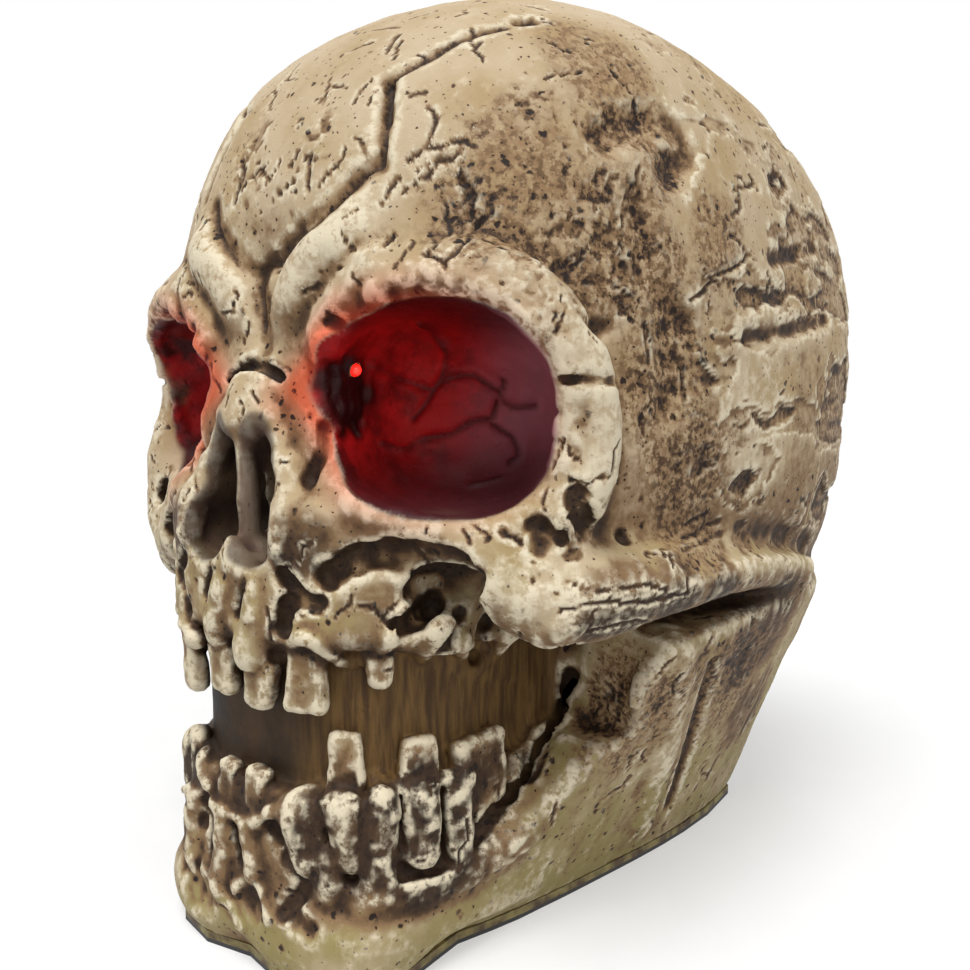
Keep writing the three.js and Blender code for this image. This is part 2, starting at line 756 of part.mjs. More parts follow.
// The largest closed piece of a surface
function largest(points, faces) {
  const parent = Array.from({ length: points.length / 3 }, (_, i) => i);
  const find = (i) => {
    while (parent[i] !== i) {
      parent[i] = parent[parent[i]];
      i = parent[i];
    }
    return i;
  };
  for (let i = 0; i < faces.length; i += 3) {
    parent[find(faces[i])] = find(faces[i + 1]);
    parent[find(faces[i])] = find(faces[i + 2]);
  }
  const counts = new Map();
  for (let i = 0; i < faces.length; i += 3) {
    const root = find(faces[i]);
    counts.set(root, (counts.get(root) || 0) + 1);
  }
  const main = [...counts].sort((a, b) => b[1] - a[1])[0][0];
  const kept = [];
  for (let i = 0; i < faces.length; i += 3) {
    if (find(faces[i]) === main) kept.push(faces[i], faces[i + 1], faces[i + 2]);
  }
  const used = new Map();
  const vertices = [];
  const index = kept.map((i) => {
    if (!used.has(i)) {
      used.set(i, vertices.length / 3);
      vertices.push(points[3 * i], points[3 * i + 1], points[3 * i + 2]);
    }
    return used.get(i);
  });
  const surface = new THREE.BufferGeometry();
  surface.setAttribute("position", new THREE.Float32BufferAttribute(vertices, 3));
  surface.setIndex(index);
  return surface;
}

// Solids from three.js geometry
function solid(geometry, matrix) {
  const g = geometry.clone();
  if (matrix) g.applyMatrix4(matrix);
  g.deleteAttribute("normal");
  g.deleteAttribute("uv");
  const m = mergeVertices(g, 1e-4);
  return new wasm.Manifold(
    new wasm.Mesh({
      numProp: 3,
      vertProperties: new Float32Array(m.attributes.position.array),
      triVerts: new Uint32Array(m.index.array),
    }),
  );
}

const place = (x, y, z) => new THREE.Matrix4().makeTranslation(x, y, z);

function boxAt(x0, x1, y0, y1, z0, z1) {
  const g = new THREE.BoxGeometry(x1 - x0, y1 - y0, z1 - z0);
  return solid(g, place((x0 + x1) / 2, (y0 + y1) / 2, (z0 + z1) / 2));
}

function turned(profile, sides, matrix) {
  const g = new THREE.LatheGeometry(
    profile.map(([r, h]) => new THREE.Vector2(r, h)),
    sides,
  );
  const upright = new THREE.Matrix4().makeRotationX(Math.PI / 2);
  return solid(g, matrix ? matrix.clone().multiply(upright) : upright);
}

function cylinder(x, y, z0, z1, r, sides = 16) {
  const profile = [
    [0, z0],
    [r, z0],
    [r, z1],
    [0, z1],
  ];
  return turned(profile, sides, place(x, y, 0));
}

function tube(points, r, steps, sides = 8) {
  const path = new THREE.CatmullRomCurve3(
    points.map((p) => new THREE.Vector3(...p)),
    false,
    "centripetal",
  );
  const section = new THREE.Shape(
    Array.from({ length: sides }, (_, i) => {
      const a = (2 * i * Math.PI) / sides;
      return new THREE.Vector2(r * Math.cos(a), r * Math.sin(a));
    }),
  );
  return solid(
    new THREE.ExtrudeGeometry(section, { steps, extrudePath: path, bevelEnabled: false }),
  );
}

const group = new THREE.Group();
group.name = "skull_decoration";

function add(name, body, colour, roughness, metalness) {
  const mesh = body.getMesh();
  const count = mesh.numProp;
  const points = new Float32Array(mesh.numVert * 3);
  for (let i = 0; i < mesh.numVert; i++) {
    points.set(mesh.vertProperties.subarray(i * count, i * count + 3), i * 3);
  }
  const g = new THREE.BufferGeometry();
  g.setAttribute("position", new THREE.BufferAttribute(points, 3));
  g.setIndex(new THREE.BufferAttribute(new Uint32Array(mesh.triVerts), 1));
  g.computeVertexNormals();
  const made = new THREE.Mesh(
    g,
    new THREE.MeshStandardMaterial({ color: colour, roughness, metalness }),
  );
  made.name = name;
  group.add(made);
}

// Shells: the front has finer grids than the rest
const faceOuter = await skin(
  outside,
  lines(-REACH_X, [[REACH_X, FACE_STEP]]),
  lines(FRONT_Y, [
    [FACE_STEP_TO_Y, FACE_STEP],
    [SEAM_Y + SEAM_OVER, FRONT_STEP],
  ]),
  lines(-ROOM, [
    [FACE_STEP_TO_Z, FACE_STEP],
    [TOP_Z, FRONT_STEP],
  ]),
  FACE_OUT_TRIANGLES,
);
const faceHollow = await skin(
  inside,
  lines(-REACH_X, [[REACH_X, FACE_HOLLOW_STEP]]),
  lines(FRONT_Y, [[SEAM_Y + SEAM_OVER, FACE_HOLLOW_STEP]]),
  lines(-ROOM, [[TOP_Z, FACE_HOLLOW_STEP]]),
  FACE_IN_TRIANGLES,
);
const rearOuter = await skin(
  outside,
  lines(-REACH_X, [[REACH_X, REAR_STEP]]),
  lines(SEAM_Y - SEAM_OVER, [[BACK_Y, REAR_STEP]]),
  lines(-ROOM, [[TOP_Z, REAR_STEP]]),
  REAR_OUT_TRIANGLES,
);
const rearHollow = await skin(
  inside,
  lines(-REACH_X, [[REACH_X, REAR_HOLLOW_STEP]]),
  lines(SEAM_Y - SEAM_OVER, [[BACK_Y, REAR_HOLLOW_STEP]]),
  lines(-ROOM, [[TOP_Z, REAR_HOLLOW_STEP]]),
  REAR_IN_TRIANGLES,
);
const faceRoom = boxAt(-REACH_X, REACH_X, FRONT_Y, SEAM_Y - GAP / 2, SHELL_Z, TOP_Z);
const rearRoom = boxAt(-REACH_X, REACH_X, SEAM_Y + GAP / 2, BACK_Y, SHELL_Z, TOP_Z);
const faceWhole = faceOuter.intersect(faceRoom);
const rearWhole = rearOuter.intersect(rearRoom);
let face = faceWhole.subtract(faceHollow);
let rear = rearWhole.subtract(rearHollow);

const sides = [
  [1, "left"],
  [-1, "right"],
];

// Screw posts
function post(x, y, within) {
  const out = x + Math.sign(x) * POST_RIB_LONG;
  const rib = boxAt(
    Math.min(x, out),
    Math.max(x, out),
    y - POST_RIB_HALF,
    y + POST_RIB_HALF,
    SHELL_Z,
    SHELL_Z + POST_H,
  );
  return cylinder(x, y, SHELL_Z, SHELL_Z + POST_H, POST_R, 12).add(rib).intersect(within);
}

function postBore(x, y) {
  const reach = HEAD_SUNK + HEAD_H + SCREW_LONG + 2 * SCREW_GAP;
  return cylinder(x, y, 0, reach, SCREW_R + SCREW_GAP, 8);
}

for (const [s] of sides) {
  for (const [x, y] of POSTS_FRONT) face = face.add(post(s * x, y, faceWhole)).subtract(postBore(s * x, y));
  for (const [x, y] of POSTS_REAR) rear = rear.add(post(s * x, y, rearWhole)).subtract(postBore(s * x, y));
}

// Lamps: each looks out of the inner wall of its socket
const lampAxis = new THREE.Vector3(...LED_AXIS).normalize();
const boardTop = SHELL_Z + SWITCH_BODY[2] + GAP + BOARD[2];

function lampMatrix(s) {
  const axis = new THREE.Vector3(s * lampAxis.x, lampAxis.y, lampAxis.z);
  const turn = new THREE.Quaternion().setFromUnitVectors(new THREE.Vector3(0, 0, 1), axis);
  const at = new THREE.Vector3(s * LED_AT[0], LED_AT[1], LED_AT[2] - SINK);
  return new THREE.Matrix4().compose(at, turn, new THREE.Vector3(1, 1, 1));
}

const ledBack = LED_PROUD - LED_LONG;
const seat = ledBack + FLANGE_H + GAP;
for (const [s, side] of sides) {
  const m = lampMatrix(s);
  const bar = (r, a, b, n) =>
    turned(
      [
        [0, a],
        [r, a],
        [r, b],
        [0, b],
      ],
      n,
      m,
    );
  face = face.add(bar(LAMP_BOSS_R, -LAMP_BOSS_LONG, 0, 14).intersect(faceWhole));
  face = face.subtract(bar(LED_R + GAP, -BORE_BACK, BORE_FRONT, 12));
  face = face.subtract(bar(CLIP_R + GAP, -BORE_BACK, seat, 12));
  const dome = [];
  for (let i = 0; i <= 5; i++) {
    const a = (i * Math.PI) / 10;
    dome.push([LED_R * Math.cos(a), LED_PROUD - LED_R + LED_R * Math.sin(a)]);
  }
  dome[5][0] = 0;
  const lens = [
    [0, ledBack],
    [FLANGE_R, ledBack],
    [FLANGE_R, ledBack + FLANGE_H],
    [LED_R, ledBack + FLANGE_H],
  ];
  add("led_" + side, turned([...lens, ...dome], 12, m), 0xd01818, 0.15, 0);
  const clip = bar(CLIP_R, ledBack - GAP - CLIP_H, ledBack - GAP, 12);
  const clipHole = bar(LEAD_R + SCREW_GAP, -BORE_BACK, BORE_FRONT, 8);
  add("led_clip_" + side, clip.subtract(clipHole), 0x1c1c1e, 0.6, 0);
  const from = (h) => new THREE.Vector3(0, 0, h).applyMatrix4(m).toArray();
  const run = [
    from(ledBack - GAP),
    from(ledBack - CLIP_H - LEAD_STRAIGHT),
    ...LAMP_ROUTE.map(([x, y, z]) => [s * x, y, z]),
    [s * LAMP_LEAD_X, BOARD_Y, boardTop + GAP],
  ];
  add("lead_" + side, tube(run, LEAD_R, LAMP_LEAD_STEPS), 0x8a1a1a, 0.5, 0);
}

add("face_shell", face, 0xcbb68d, 0.7, 0);
add("rear_shell", rear, 0xc4ae84, 0.7, 0);

// Base plate, as wide as the foot of the shells
const outline = [];
for (let i = 0; i < OUTLINE_STEPS; i++) {
  const a = (2 * Math.PI * i) / OUTLINE_STEPS;
  let low = 0;
  let high = BACK_Y;
  while (high - low > 0.01) {
    const r = (low + high) / 2;
    if (outside(r * Math.sin(a), BODY_Y - r * Math.cos(a), SHELL_Z + PLATE_FIT_Z) < 0) low = r;
    else high = r;
  }
  const r = low - PLATE_IN;
  outline.push(new THREE.Vector2(r * Math.sin(a), BODY_Y - r * Math.cos(a)));
}
const plateBody = new THREE.ExtrudeGeometry(new THREE.Shape(outline), {
  depth: PLATE_H,
  bevelEnabled: false,
});
let plate = solid(plateBody);
const recessZ = DOOR_Z + DOOR_T + GAP;
const recessHalf = DOOR_HALF + SLIDE_GAP;
plate = plate.subtract(boxAt(-recessHalf, recessHalf, RECESS_FRONT, RECESS_BACK, -THROUGH, recessZ));
plate = plate.subtract(
  boxAt(-BOX_IN_X / 2, BOX_IN_X / 2, BOX_Y - BOX_IN_Y / 2, BOX_Y + BOX_IN_Y / 2, -THROUGH, PLATE_H + THROUGH),
);
plate = plate.subtract(cylinder(0, DOOR_SCREW_Y, 0, PLATE_H + THROUGH, DOOR_SCREW_R + 2 * SCREW_GAP, 10));

const screwSpots = [];
for (const [s, side] of sides) {
  POSTS_FRONT.forEach(([x, y], i) => screwSpots.push([s * x, y, "front_" + (i + 1) + "_" + side]));
  POSTS_REAR.forEach(([x, y]) => screwSpots.push([s * x, y, "rear_" + side]));
}
for (const [x, y, label] of screwSpots) {
  plate = plate.subtract(cylinder(x, y, -THROUGH, PLATE_H + THROUGH, SCREW_R + SCREW_GAP, 8));
  plate = plate.subtract(cylinder(x, y, -THROUGH, HEAD_SUNK + HEAD_H + GAP, HEAD_R + SCREW_GAP, 12));
  const body = cylinder(x, y, HEAD_SUNK, HEAD_SUNK + HEAD_H, HEAD_R, 12)
    .add(cylinder(x, y, HEAD_SUNK + HEAD_H - JOINED, HEAD_SUNK + HEAD_H + SCREW_LONG, SCREW_R, 8));
  add("base_screw_" + label, body, 0x9a9a9c, 0.35, 0.9);
}

// Circuit board with its switch
const boardBottom = boardTop - BOARD[2];
const standoffY = BOARD_Y + BOARD[1] / 2 - STANDOFF_EDGE;
const restY = BOARD_Y - BOARD[1] / 2 + STANDOFF_EDGE;
for (const [s] of sides) {
  plate = plate.add(
    cylinder(s * STANDOFF_X, standoffY, PLATE_H - STANDOFF_ROOT, boardBottom - GAP, STANDOFF_R, 12),
  );
  plate = plate.subtract(
    cylinder(s * STANDOFF_X, standoffY, PLATE_H - BOARD_BORE_DEEP, boardTop, BOARD_SCREW_R + GAP, 8),
  );
  plate = plate.add(
    cylinder(s * STANDOFF_X, restY, PLATE_H - STANDOFF_ROOT, boardBottom - GAP, STANDOFF_R, 12),
  );
}
const knobY = BOARD_Y;
plate = plate.subtract(
  boxAt(
    -KNOB[0] / 2 - SLIDE_GAP,
    KNOB[0] / 2 + SLIDE_GAP,
    knobY - KNOB[1] / 2 - KNOB_TRAVEL - SLIDE_GAP,
    knobY + KNOB[1] / 2 + SLIDE_GAP,
    -THROUGH,
    PLATE_H + THROUGH,
  ),
);
add("base_plate", plate, 0x2b2b2d, 0.65, 0);

let board = boxAt(
  -BOARD[0] / 2,
  BOARD[0] / 2,
  BOARD_Y - BOARD[1] / 2,
  BOARD_Y + BOARD[1] / 2,
  boardBottom,
  boardTop,
);
board = board.add(
  boxAt(-CHIP.x, CHIP.x, BOARD_Y + CHIP.y0, BOARD_Y + CHIP.y1, boardTop - JOINED, boardTop + CHIP.h),
);
board = board.add(
  cylinder(CAPACITOR.x, BOARD_Y + CAPACITOR.y, boardTop - JOINED, boardTop + CAPACITOR.h, CAPACITOR.r, 14),
);
for (const [s] of sides) {
  board = board.subtract(
    cylinder(s * STANDOFF_X, standoffY, boardBottom - THROUGH, boardTop + THROUGH, BOARD_SCREW_R + GAP, 8),
  );
}
add("circuit_board", board, 0x2f6b3a, 0.5, 0);
for (const [s, side] of sides) {
  const x = s * STANDOFF_X;
  const body = cylinder(x, standoffY, boardTop + GAP, boardTop + GAP + BOARD_HEAD_H, BOARD_HEAD_R, 12)
    .add(cylinder(x, standoffY, PLATE_H - BOARD_SCREW_DEEP, boardTop + GAP + JOINED, BOARD_SCREW_R, 10));
  add("board_screw_" + side, body, 0xa8a8aa, 0.35, 0.9);
}

const switchZ = SHELL_Z;
const stemRoom = boxAt(
  -STEM[0] / 2 - GAP,
  STEM[0] / 2 + GAP,
  knobY - STEM[1] / 2 - KNOB_TRAVEL - GAP,
  knobY + STEM[1] / 2 + GAP,
  switchZ - THROUGH,
  switchZ + STEM[2] + GAP,
);
const switchMid = knobY - KNOB_TRAVEL / 2;
add(
  "switch_body",
  boxAt(
    -SWITCH_BODY[0] / 2,
    SWITCH_BODY[0] / 2,
    switchMid - SWITCH_BODY[1] / 2,
    switchMid + SWITCH_BODY[1] / 2,
    switchZ,
    switchZ + SWITCH_BODY[2],
  ).subtract(stemRoom),
  0x8f9194,
  0.4,
  0.8,
);
let knob = boxAt(
  -KNOB[0] / 2,
  KNOB[0] / 2,
  knobY - KNOB[1] / 2,
  knobY + KNOB[1] / 2,
  KNOB_Z,
  KNOB_Z + KNOB[2] - GAP,
);
knob = knob.add(
  boxAt(
    -STEM[0] / 2,
    STEM[0] / 2,
    knobY - STEM[1] / 2,
    knobY + STEM[1] / 2,
    KNOB_Z + STEM_ROOT,
    switchZ + STEM[2],
  ),
);
for (const dy of KNOB_RIBS) {
  const y = knobY + dy;
  knob = knob.subtract(
    boxAt(-KNOB[0], KNOB[0], y - KNOB_RIB_HALF, y + KNOB_RIB_HALF, KNOB_Z - THROUGH, KNOB_Z + KNOB_RIB_DEEP),
  );
}
add("switch_knob", knob, 0x151516, 0.5, 0);

// Battery box, open downwards
const boxTop = SHELL_Z + BOX_IN_Z;
const inX = BOX_IN_X / 2;
const inY = BOX_IN_Y / 2;
let tray = boxAt(
  -inX - BOX_WALL,
  inX + BOX_WALL,
  BOX_Y - inY - BOX_WALL,
  BOX_Y + inY + BOX_WALL,
  SHELL_Z,
  boxTop + BOX_WALL,
).subtract(boxAt(-inX, inX, BOX_Y - inY, BOX_Y + inY, SHELL_Z - THROUGH, boxTop));
const frontY = BOX_Y - inY + GAP;
const backY = BOX_Y + inY - GAP;
const tabs = [
  [-CELL_PITCH, frontY, frontY + CONTACT_T],
  [CELL_PITCH, backY - CONTACT_T, backY],
];
for (const [x, y0, y1] of tabs) {
  const half = TAB_HALF + GAP;
  const above = boxTop + BOX_WALL + TAB_H;
  tray = tray.subtract(boxAt(x - half, x + half, y0 - GAP, y1 + GAP, boxTop - THROUGH, above));
}
add("battery_box", tray, 0x232325, 0.6, 0);

const cellZ = boxTop - GAP - CELL_R;
const cellHalf = CELL_R - STRIP_IN;
const strip = (x0, x1, y0, y1) => boxAt(x0, x1, y0, y1, cellZ - cellHalf, boxTop - GAP);
const tab = ([x, y0, y1]) => boxAt(x - TAB_HALF, x + TAB_HALF, y0, y1, cellZ, boxTop + BOX_WALL + TAB_H);
const frontStrip = (x0, x1) => strip(x0, x1, frontY, frontY + CONTACT_T);
const backStrip = (x0, x1) => strip(x0, x1, backY - CONTACT_T, backY);
const metal = [0xb9bcc0, 0.3, 0.95];
add("contact_minus", frontStrip(-CELL_PITCH - cellHalf, -CELL_PITCH + cellHalf).add(tab(tabs[0])), ...metal);
add("contact_bridge_rear", backStrip(-CELL_PITCH - cellHalf, cellHalf), ...metal);
add("contact_bridge_front", frontStrip(-cellHalf, CELL_PITCH + cellHalf), ...metal);
add("contact_plus", backStrip(CELL_PITCH - cellHalf, CELL_PITCH + cellHalf).add(tab(tabs[1])), ...metal);

[-1, 0, 1].forEach((n, i) => {
  const x = n * CELL_PITCH;
  const toFront = n === 0 ? -1 : 1;
  const springY = toFront > 0 ? frontY + CONTACT_T + GAP : backY - CONTACT_T - GAP;
  const points = [];
  for (let k = 0; k <= SPRING_TURNS * 8; k++) {
    const a = (k * Math.PI) / 4;
    const t = k / (SPRING_TURNS * 8);
    const r = SPRING_BASE_R + (SPRING_TOP_R - SPRING_BASE_R) * t;
    const y = springY + toFront * (SPRING_WIRE_R + t * (SPRING_LONG - 2 * SPRING_WIRE_R));
    points.push([x + r * Math.cos(a), y, cellZ + r * Math.sin(a)]);
  }
  add("spring_" + (i + 1), tube(points, SPRING_WIRE_R, SPRING_TURNS * 8, 5), ...metal);
  const back = springY + toFront * (SPRING_LONG + GAP);
  const cell = turned(
    [
      [0, 0],
      [CELL_R - CELL_EDGE, 0],
      [CELL_R, CELL_EDGE],
      [CELL_R, CELL_LONG - CELL_EDGE],
      [CELL_R - CELL_EDGE, CELL_LONG],
      [NUB_R, CELL_LONG],
      [NUB_R, CELL_LONG + NUB_H],
      [0, CELL_LONG + NUB_H],
    ],
    12,
    place(x, back, cellZ).multiply(new THREE.Matrix4().makeRotationX((-toFront * Math.PI) / 2)),
  );
  add("cell_" + (i + 1), cell, 0x3b3b40, 0.35, 0.5);
});

// Wires from the box to the board
const leadTop = boxTop + BOX_WALL + TAB_H / 2 + CELL_LEAD_DROP[0];
const leadEnds = [
  ["lead_minus", tabs[0], -1, 8, 0x17171a],
  ["lead_plus", tabs[1], 1, 16, 0xb02020],
];
for (const [name, [x, y0], s, steps, colour] of leadEnds) {
  const run = [
    [x, y0 - GAP, leadTop],
    [x + s * CELL_LEAD_BEND[0], y0 - CELL_LEAD_BEND[1], leadTop + CELL_LEAD_BEND[2]],
    [s * CELL_LEAD_CORNER[0], BOX_Y - inY - CELL_LEAD_CORNER[1], leadTop],
    [s * CELL_LEAD_END[0], BOARD_Y + CELL_LEAD_END[1] + CELL_LEAD_DROP[0], boardTop + CELL_LEAD_DROP[1]],
    [s * CELL_LEAD_END[0], BOARD_Y + CELL_LEAD_END[1], boardTop + GAP],
  ];
  add(name, tube(run, CELL_LEAD_R, steps), colour, 0.5, 0);
}

// Battery door, hinged at its rear edge
const hingeZ = DOOR_Z + DOOR_T / 2;
let door = boxAt(-DOOR_HALF, DOOR_HALF, DOOR_FRONT, HINGE_Y, DOOR_Z, DOOR_Z + DOOR_T);
const across = new THREE.Matrix4().makeRotationY(Math.PI / 2).setPosition(0, HINGE_Y, hingeZ);
const barrel = [
  [0, -DOOR_HALF],
  [DOOR_T / 2, -DOOR_HALF],
  [DOOR_T / 2, DOOR_HALF],
  [0, DOOR_HALF],
];
door = door.add(turned(barrel, 20, across));
door = door.subtract(cylinder(0, DOOR_SCREW_Y, -THROUGH, DOOR_T + THROUGH, DOOR_SCREW_R + GAP, 10));
door = door.subtract(cylinder(0, DOOR_SCREW_Y, -THROUGH, DOOR_Z + DOOR_HEAD_H + GAP, DOOR_HEAD_R + GAP, 12));
for (let i = 0; i < GRIP.count; i++) {
  const y = BOX_Y + GRIP.from + i * GRIP.pitch;
  const groove = boxAt(-GRIP.long, GRIP.long, y - GRIP.wide, y + GRIP.wide, -THROUGH, DOOR_Z + GRIP.deep);
  door = door.subtract(groove);
}
add("battery_door", door, 0x28282a, 0.6, 0);
const doorScrew = cylinder(0, DOOR_SCREW_Y, DOOR_Z, DOOR_Z + DOOR_HEAD_H, DOOR_HEAD_R, 12)
  .add(cylinder(0, DOOR_SCREW_Y, DOOR_Z + DOOR_HEAD_H - JOINED, PLATE_H + DOOR_SCREW_OUT, DOOR_SCREW_R, 8));
add("door_screw", doorScrew, 0x9a9a9c, 0.35, 0.9);

export default group;
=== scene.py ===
import math
from collections import namedtuple
from types import SimpleNamespace

import bpy
import numpy as np
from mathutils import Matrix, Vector


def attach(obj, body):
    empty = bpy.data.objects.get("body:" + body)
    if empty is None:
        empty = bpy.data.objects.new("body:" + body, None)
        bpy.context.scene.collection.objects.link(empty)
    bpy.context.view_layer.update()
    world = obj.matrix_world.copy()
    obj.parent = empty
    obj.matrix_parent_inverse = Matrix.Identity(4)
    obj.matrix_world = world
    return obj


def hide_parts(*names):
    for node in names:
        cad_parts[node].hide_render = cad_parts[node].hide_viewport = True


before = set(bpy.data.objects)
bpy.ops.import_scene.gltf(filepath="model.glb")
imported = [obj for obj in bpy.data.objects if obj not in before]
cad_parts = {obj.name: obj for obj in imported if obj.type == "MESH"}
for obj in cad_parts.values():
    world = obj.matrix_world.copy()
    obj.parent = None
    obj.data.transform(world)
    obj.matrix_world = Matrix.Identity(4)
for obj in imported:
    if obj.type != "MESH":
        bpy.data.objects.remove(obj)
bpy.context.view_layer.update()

bl_info = {
    "name": "Skull decoration",
    "version": (1, 0, 0),
    "blender": (4, 5, 0),
    "location": "View3D > Sidebar > Skull",
    "description": "Dresses the solid parts of a lit skull decoration",
    "category": "Object",
}

MM = 0.001
BODY = "skull"

# Camera of the photograph: frame and focal length in pixels, place and aim in millimetres
FRAME_PX = 970
FOCAL_PX = 1034.0
SENSOR_MM = 36.0
EYE = np.array((339.71, -417.91, 250.0))
AIM = np.array((-6.435, -5.399, 197.92))

# Stage: half width of the floor in millimetres, suns with their direction, spread and strength
FLOOR_HALF = 3000.0
SUNS = (
    ("key_light", (0.2, -0.7, 1.6), 0.6, 2.2),
    ("fill_light", (1.3, -0.6, 1.0), 0.9, 0.7),
)

# Form of the skull in millimetres, as its solids have it; it is laid out SINK higher than it stands
SINK = 12.0
SEAM_Y = 78.0
SHELL_Z = 5.3
WALL = 9.0
FACE_WALL = 8.5
LED_AT = np.array((36.6, -136.0, 255.8))
LED_AXIS = np.array((0.9, -0.35, -0.12)) / np.linalg.norm((0.9, -0.35, -0.12))
LENS_TIP = 2.0
BORE_R = 2.8
BORE_BACK = 30.0
BORE_FRONT = 8.0

# Middle of the base plate, with the door and the switch, that stays unpainted: its y and half sizes
CORE_Y = 10.0
CORE_HALF = (42.0, 110.0)
CORE_FADE = 4.0

# Grid of the outer surface: half width; front, end of the fine part and back; top of the fine part and top
GRID_X = 152.0
GRID_Y = (-184.0, -55.0, 238.0)
GRID_Z = (300.0, 440.0)

# Grid of the hollow: its corners, its spacing and the value that closes it below
HOLLOW_LOW = (-150.0, -180.0, -30.0)
HOLLOW_HIGH = (150.0, 240.0, 440.0)
HOLLOW_STEP = 6.0
FLOOR_GAP = 5.0

# A value that stands for far off, and heights and widths past all of the skull
FAR_OFF = 30.0
BEYOND = 300.0
ABOVE = 500.0

BROW = [
    (14, -140, 261, 12.5),
    (13, -143, 273, 12.5),
    (18, -145, 284, 13),
    (29, -144, 296, 14),
    (45, -139, 307, 14),
    (57, -122, 328, 8),
]
NASION = [(0, -158, 259, 3), (14, -155, 253, 2.4), (27, -151, 246, 2)]
SOCKET_RIM = [
    (26, -139, 255, 9),
    (34, -141, 271, 9),
    (48, -141, 284, 9),
    (66, -138, 290, 9.5),
    (86, -132, 290, 11),
    (108, -121, 283, 13),
    (123, -107, 258, 12),
    (125, -101, 228, 11),
    (115, -110, 201, 13),
    (84, -126, 192, 10),
    (56, -140, 198, 9),
]
CHEEK = [
    (58, -134, 190, 9),
    (92, -122, 181, 16),
    (116, -107, 171, 19),
    (130, -70, 172, 15),
    (135, -10, 171, 11),
    (132, 70, 161, 8),
]
FAR_CHEEK = [(-127, -105, 238, 11), (-129, -107, 226, 13), (-130, -108, 212, 15), (-124, -110, 184, 17)]
NOSE_BONE = [(0, -138, 262, 12), (0, -148, 250, 14), (0, -157, 240, 11)]
NOSE_HALF = [(5, -148, 258, 6), (5.5, -157, 245, 8), (6, -162, 235, 6.5)]
NOSE_RIM = [
    (12, -159, 234, 5),
    (26, -155, 208, 6),
    (30, -154, 188, 6),
    (14, -163, 177, 7),
    (0, -166, 177, 7),
]
SEPTUM = [(0, -164, 236, 4), (0, -160, 182, 4.5)]
JAW_SLOT = [(76, -48, 142, 9), (76, -56, 112, 7), (75, -74, 76, 4)]
ROW_HALF = 77.0
ROW_DEPTH = 98.0
ROW_BACK = -76.0
ROW_POWER = 3.0
MOUTH_WALL_IN = 12.0
LEDGE_Y = (-180, -135, -105, -84, -64, -52, -40, 40)
LEDGE_Z = (48, 46, 52, 70, 94, 126, 142, 150)

# Teeth and roots at the skull's right: x, y, z at the gum, z of the free end, both radii, lean in x
FAR_TEETH = [
    (-74, -112, 152, 136, 7, 6, 0),
    (-66, -136, 151, 130, 7.5, 6.5, 0),
    (-54, -152, 150, 131, 6.5, 5.5, 1),
    (-39, -163, 147, 119, 6.5, 6, 3),
    (-70, -100, 84, 108, 8, 6, 0),
    (-62, -130, 84, 104, 8, 6, 0),
    (-42, -158, 82, 100, 6.5, 5.5, 0),
]
FAR_ROOTS = [
    (-77, -100, 156, 176, 7, 7, 0),
    (-70, -128, 152, 178, 7, 7, 0),
    (-58, -150, 150, 178, 7, 7, 0),
    (-75, -90, 62, 90, 6, 7, 0),
    (-70, -120, 54, 89, 6, 7, 0),
    (-58, -148, 48, 87, 6.5, 7.5, 0),
]

Tooth = namedtuple("Tooth", "gum end gum_half end_half deep inset")
Root = namedtuple("Root", "gum end gum_r end_r inset")
Stroke = namedtuple("Stroke", "points radius height soft")
Crack = namedtuple("Crack", "points width depth sunk", defaults=(0.0,))
Zone = namedtuple("Zone", "at radius")

# Teeth in the photograph: pixels of the gum end and the free end, half widths, half depth, inset from the row
TEETH = {
    "upper_front_1": Tooth((224, 642), (227, 692), 7.6, 6.6, 4.5, 7),
    "upper_front_2": Tooth((263, 658), (259, 708), 9.0, 6.6, 4.5, 7),
    "upper_left_1": Tooth((307, 646), (306, 714), 8.0, 9.6, 4.5, 7),
    "upper_left_3": Tooth((380, 652), (380, 689), 6.0, 4.8, 4.0, 8),
    "lower_front_1": Tooth((233, 806), (231, 756), 6.6, 6.0, 4.5, 7),
    "lower_front_2": Tooth((258, 812), (261, 766), 7.0, 6.4, 4.5, 7),
    "lower_left_1": Tooth((346, 794), (345, 730), 8.0, 6.5, 2.6, 9.5),
    "lower_left_2": Tooth((418, 786), (418, 735), 9.0, 8.0, 3.4, 9),
    "lower_left_3": Tooth((480, 806), (476, 733), 13.0, 15.0, 4.5, 8.5),
}
ROOTS = {
    "upper_root_2": Root((199, 578), (190, 624), 4.5, 5.0, 3),
    "upper_root_3": Root((229, 586), (219, 632), 6.0, 6.0, 1),
    "upper_root_4": Root((259, 594), (254, 650), 5.5, 8.0, 1),
    "lower_root_1": Root((199, 796), (201, 856), 6.0, 5.5, 3),
    "lower_root_2": Root((227, 822), (227, 882), 5.5, 6.0, 3),
    "lower_root_3": Root((250, 828), (256, 866), 5.0, 4.5, 3),
    "lower_root_4": Root((300, 812), (310, 866), 9.0, 5.0, 3),
    "lower_root_5": Root((343, 808), (352, 860), 8.0, 5.0, 3),
    "lower_root_6": Root((381, 800), (377, 886), 6.0, 7.0, 3),
    "lower_root_7": Root((420, 798), (420, 850), 7.5, 7.0, 4),
    "lower_root_8": Root((457, 792), (456, 850), 6.5, 6.0, 4),
    "chin_knob": Root((327, 860), (330, 886), 5.0, 6.0, 4),
}

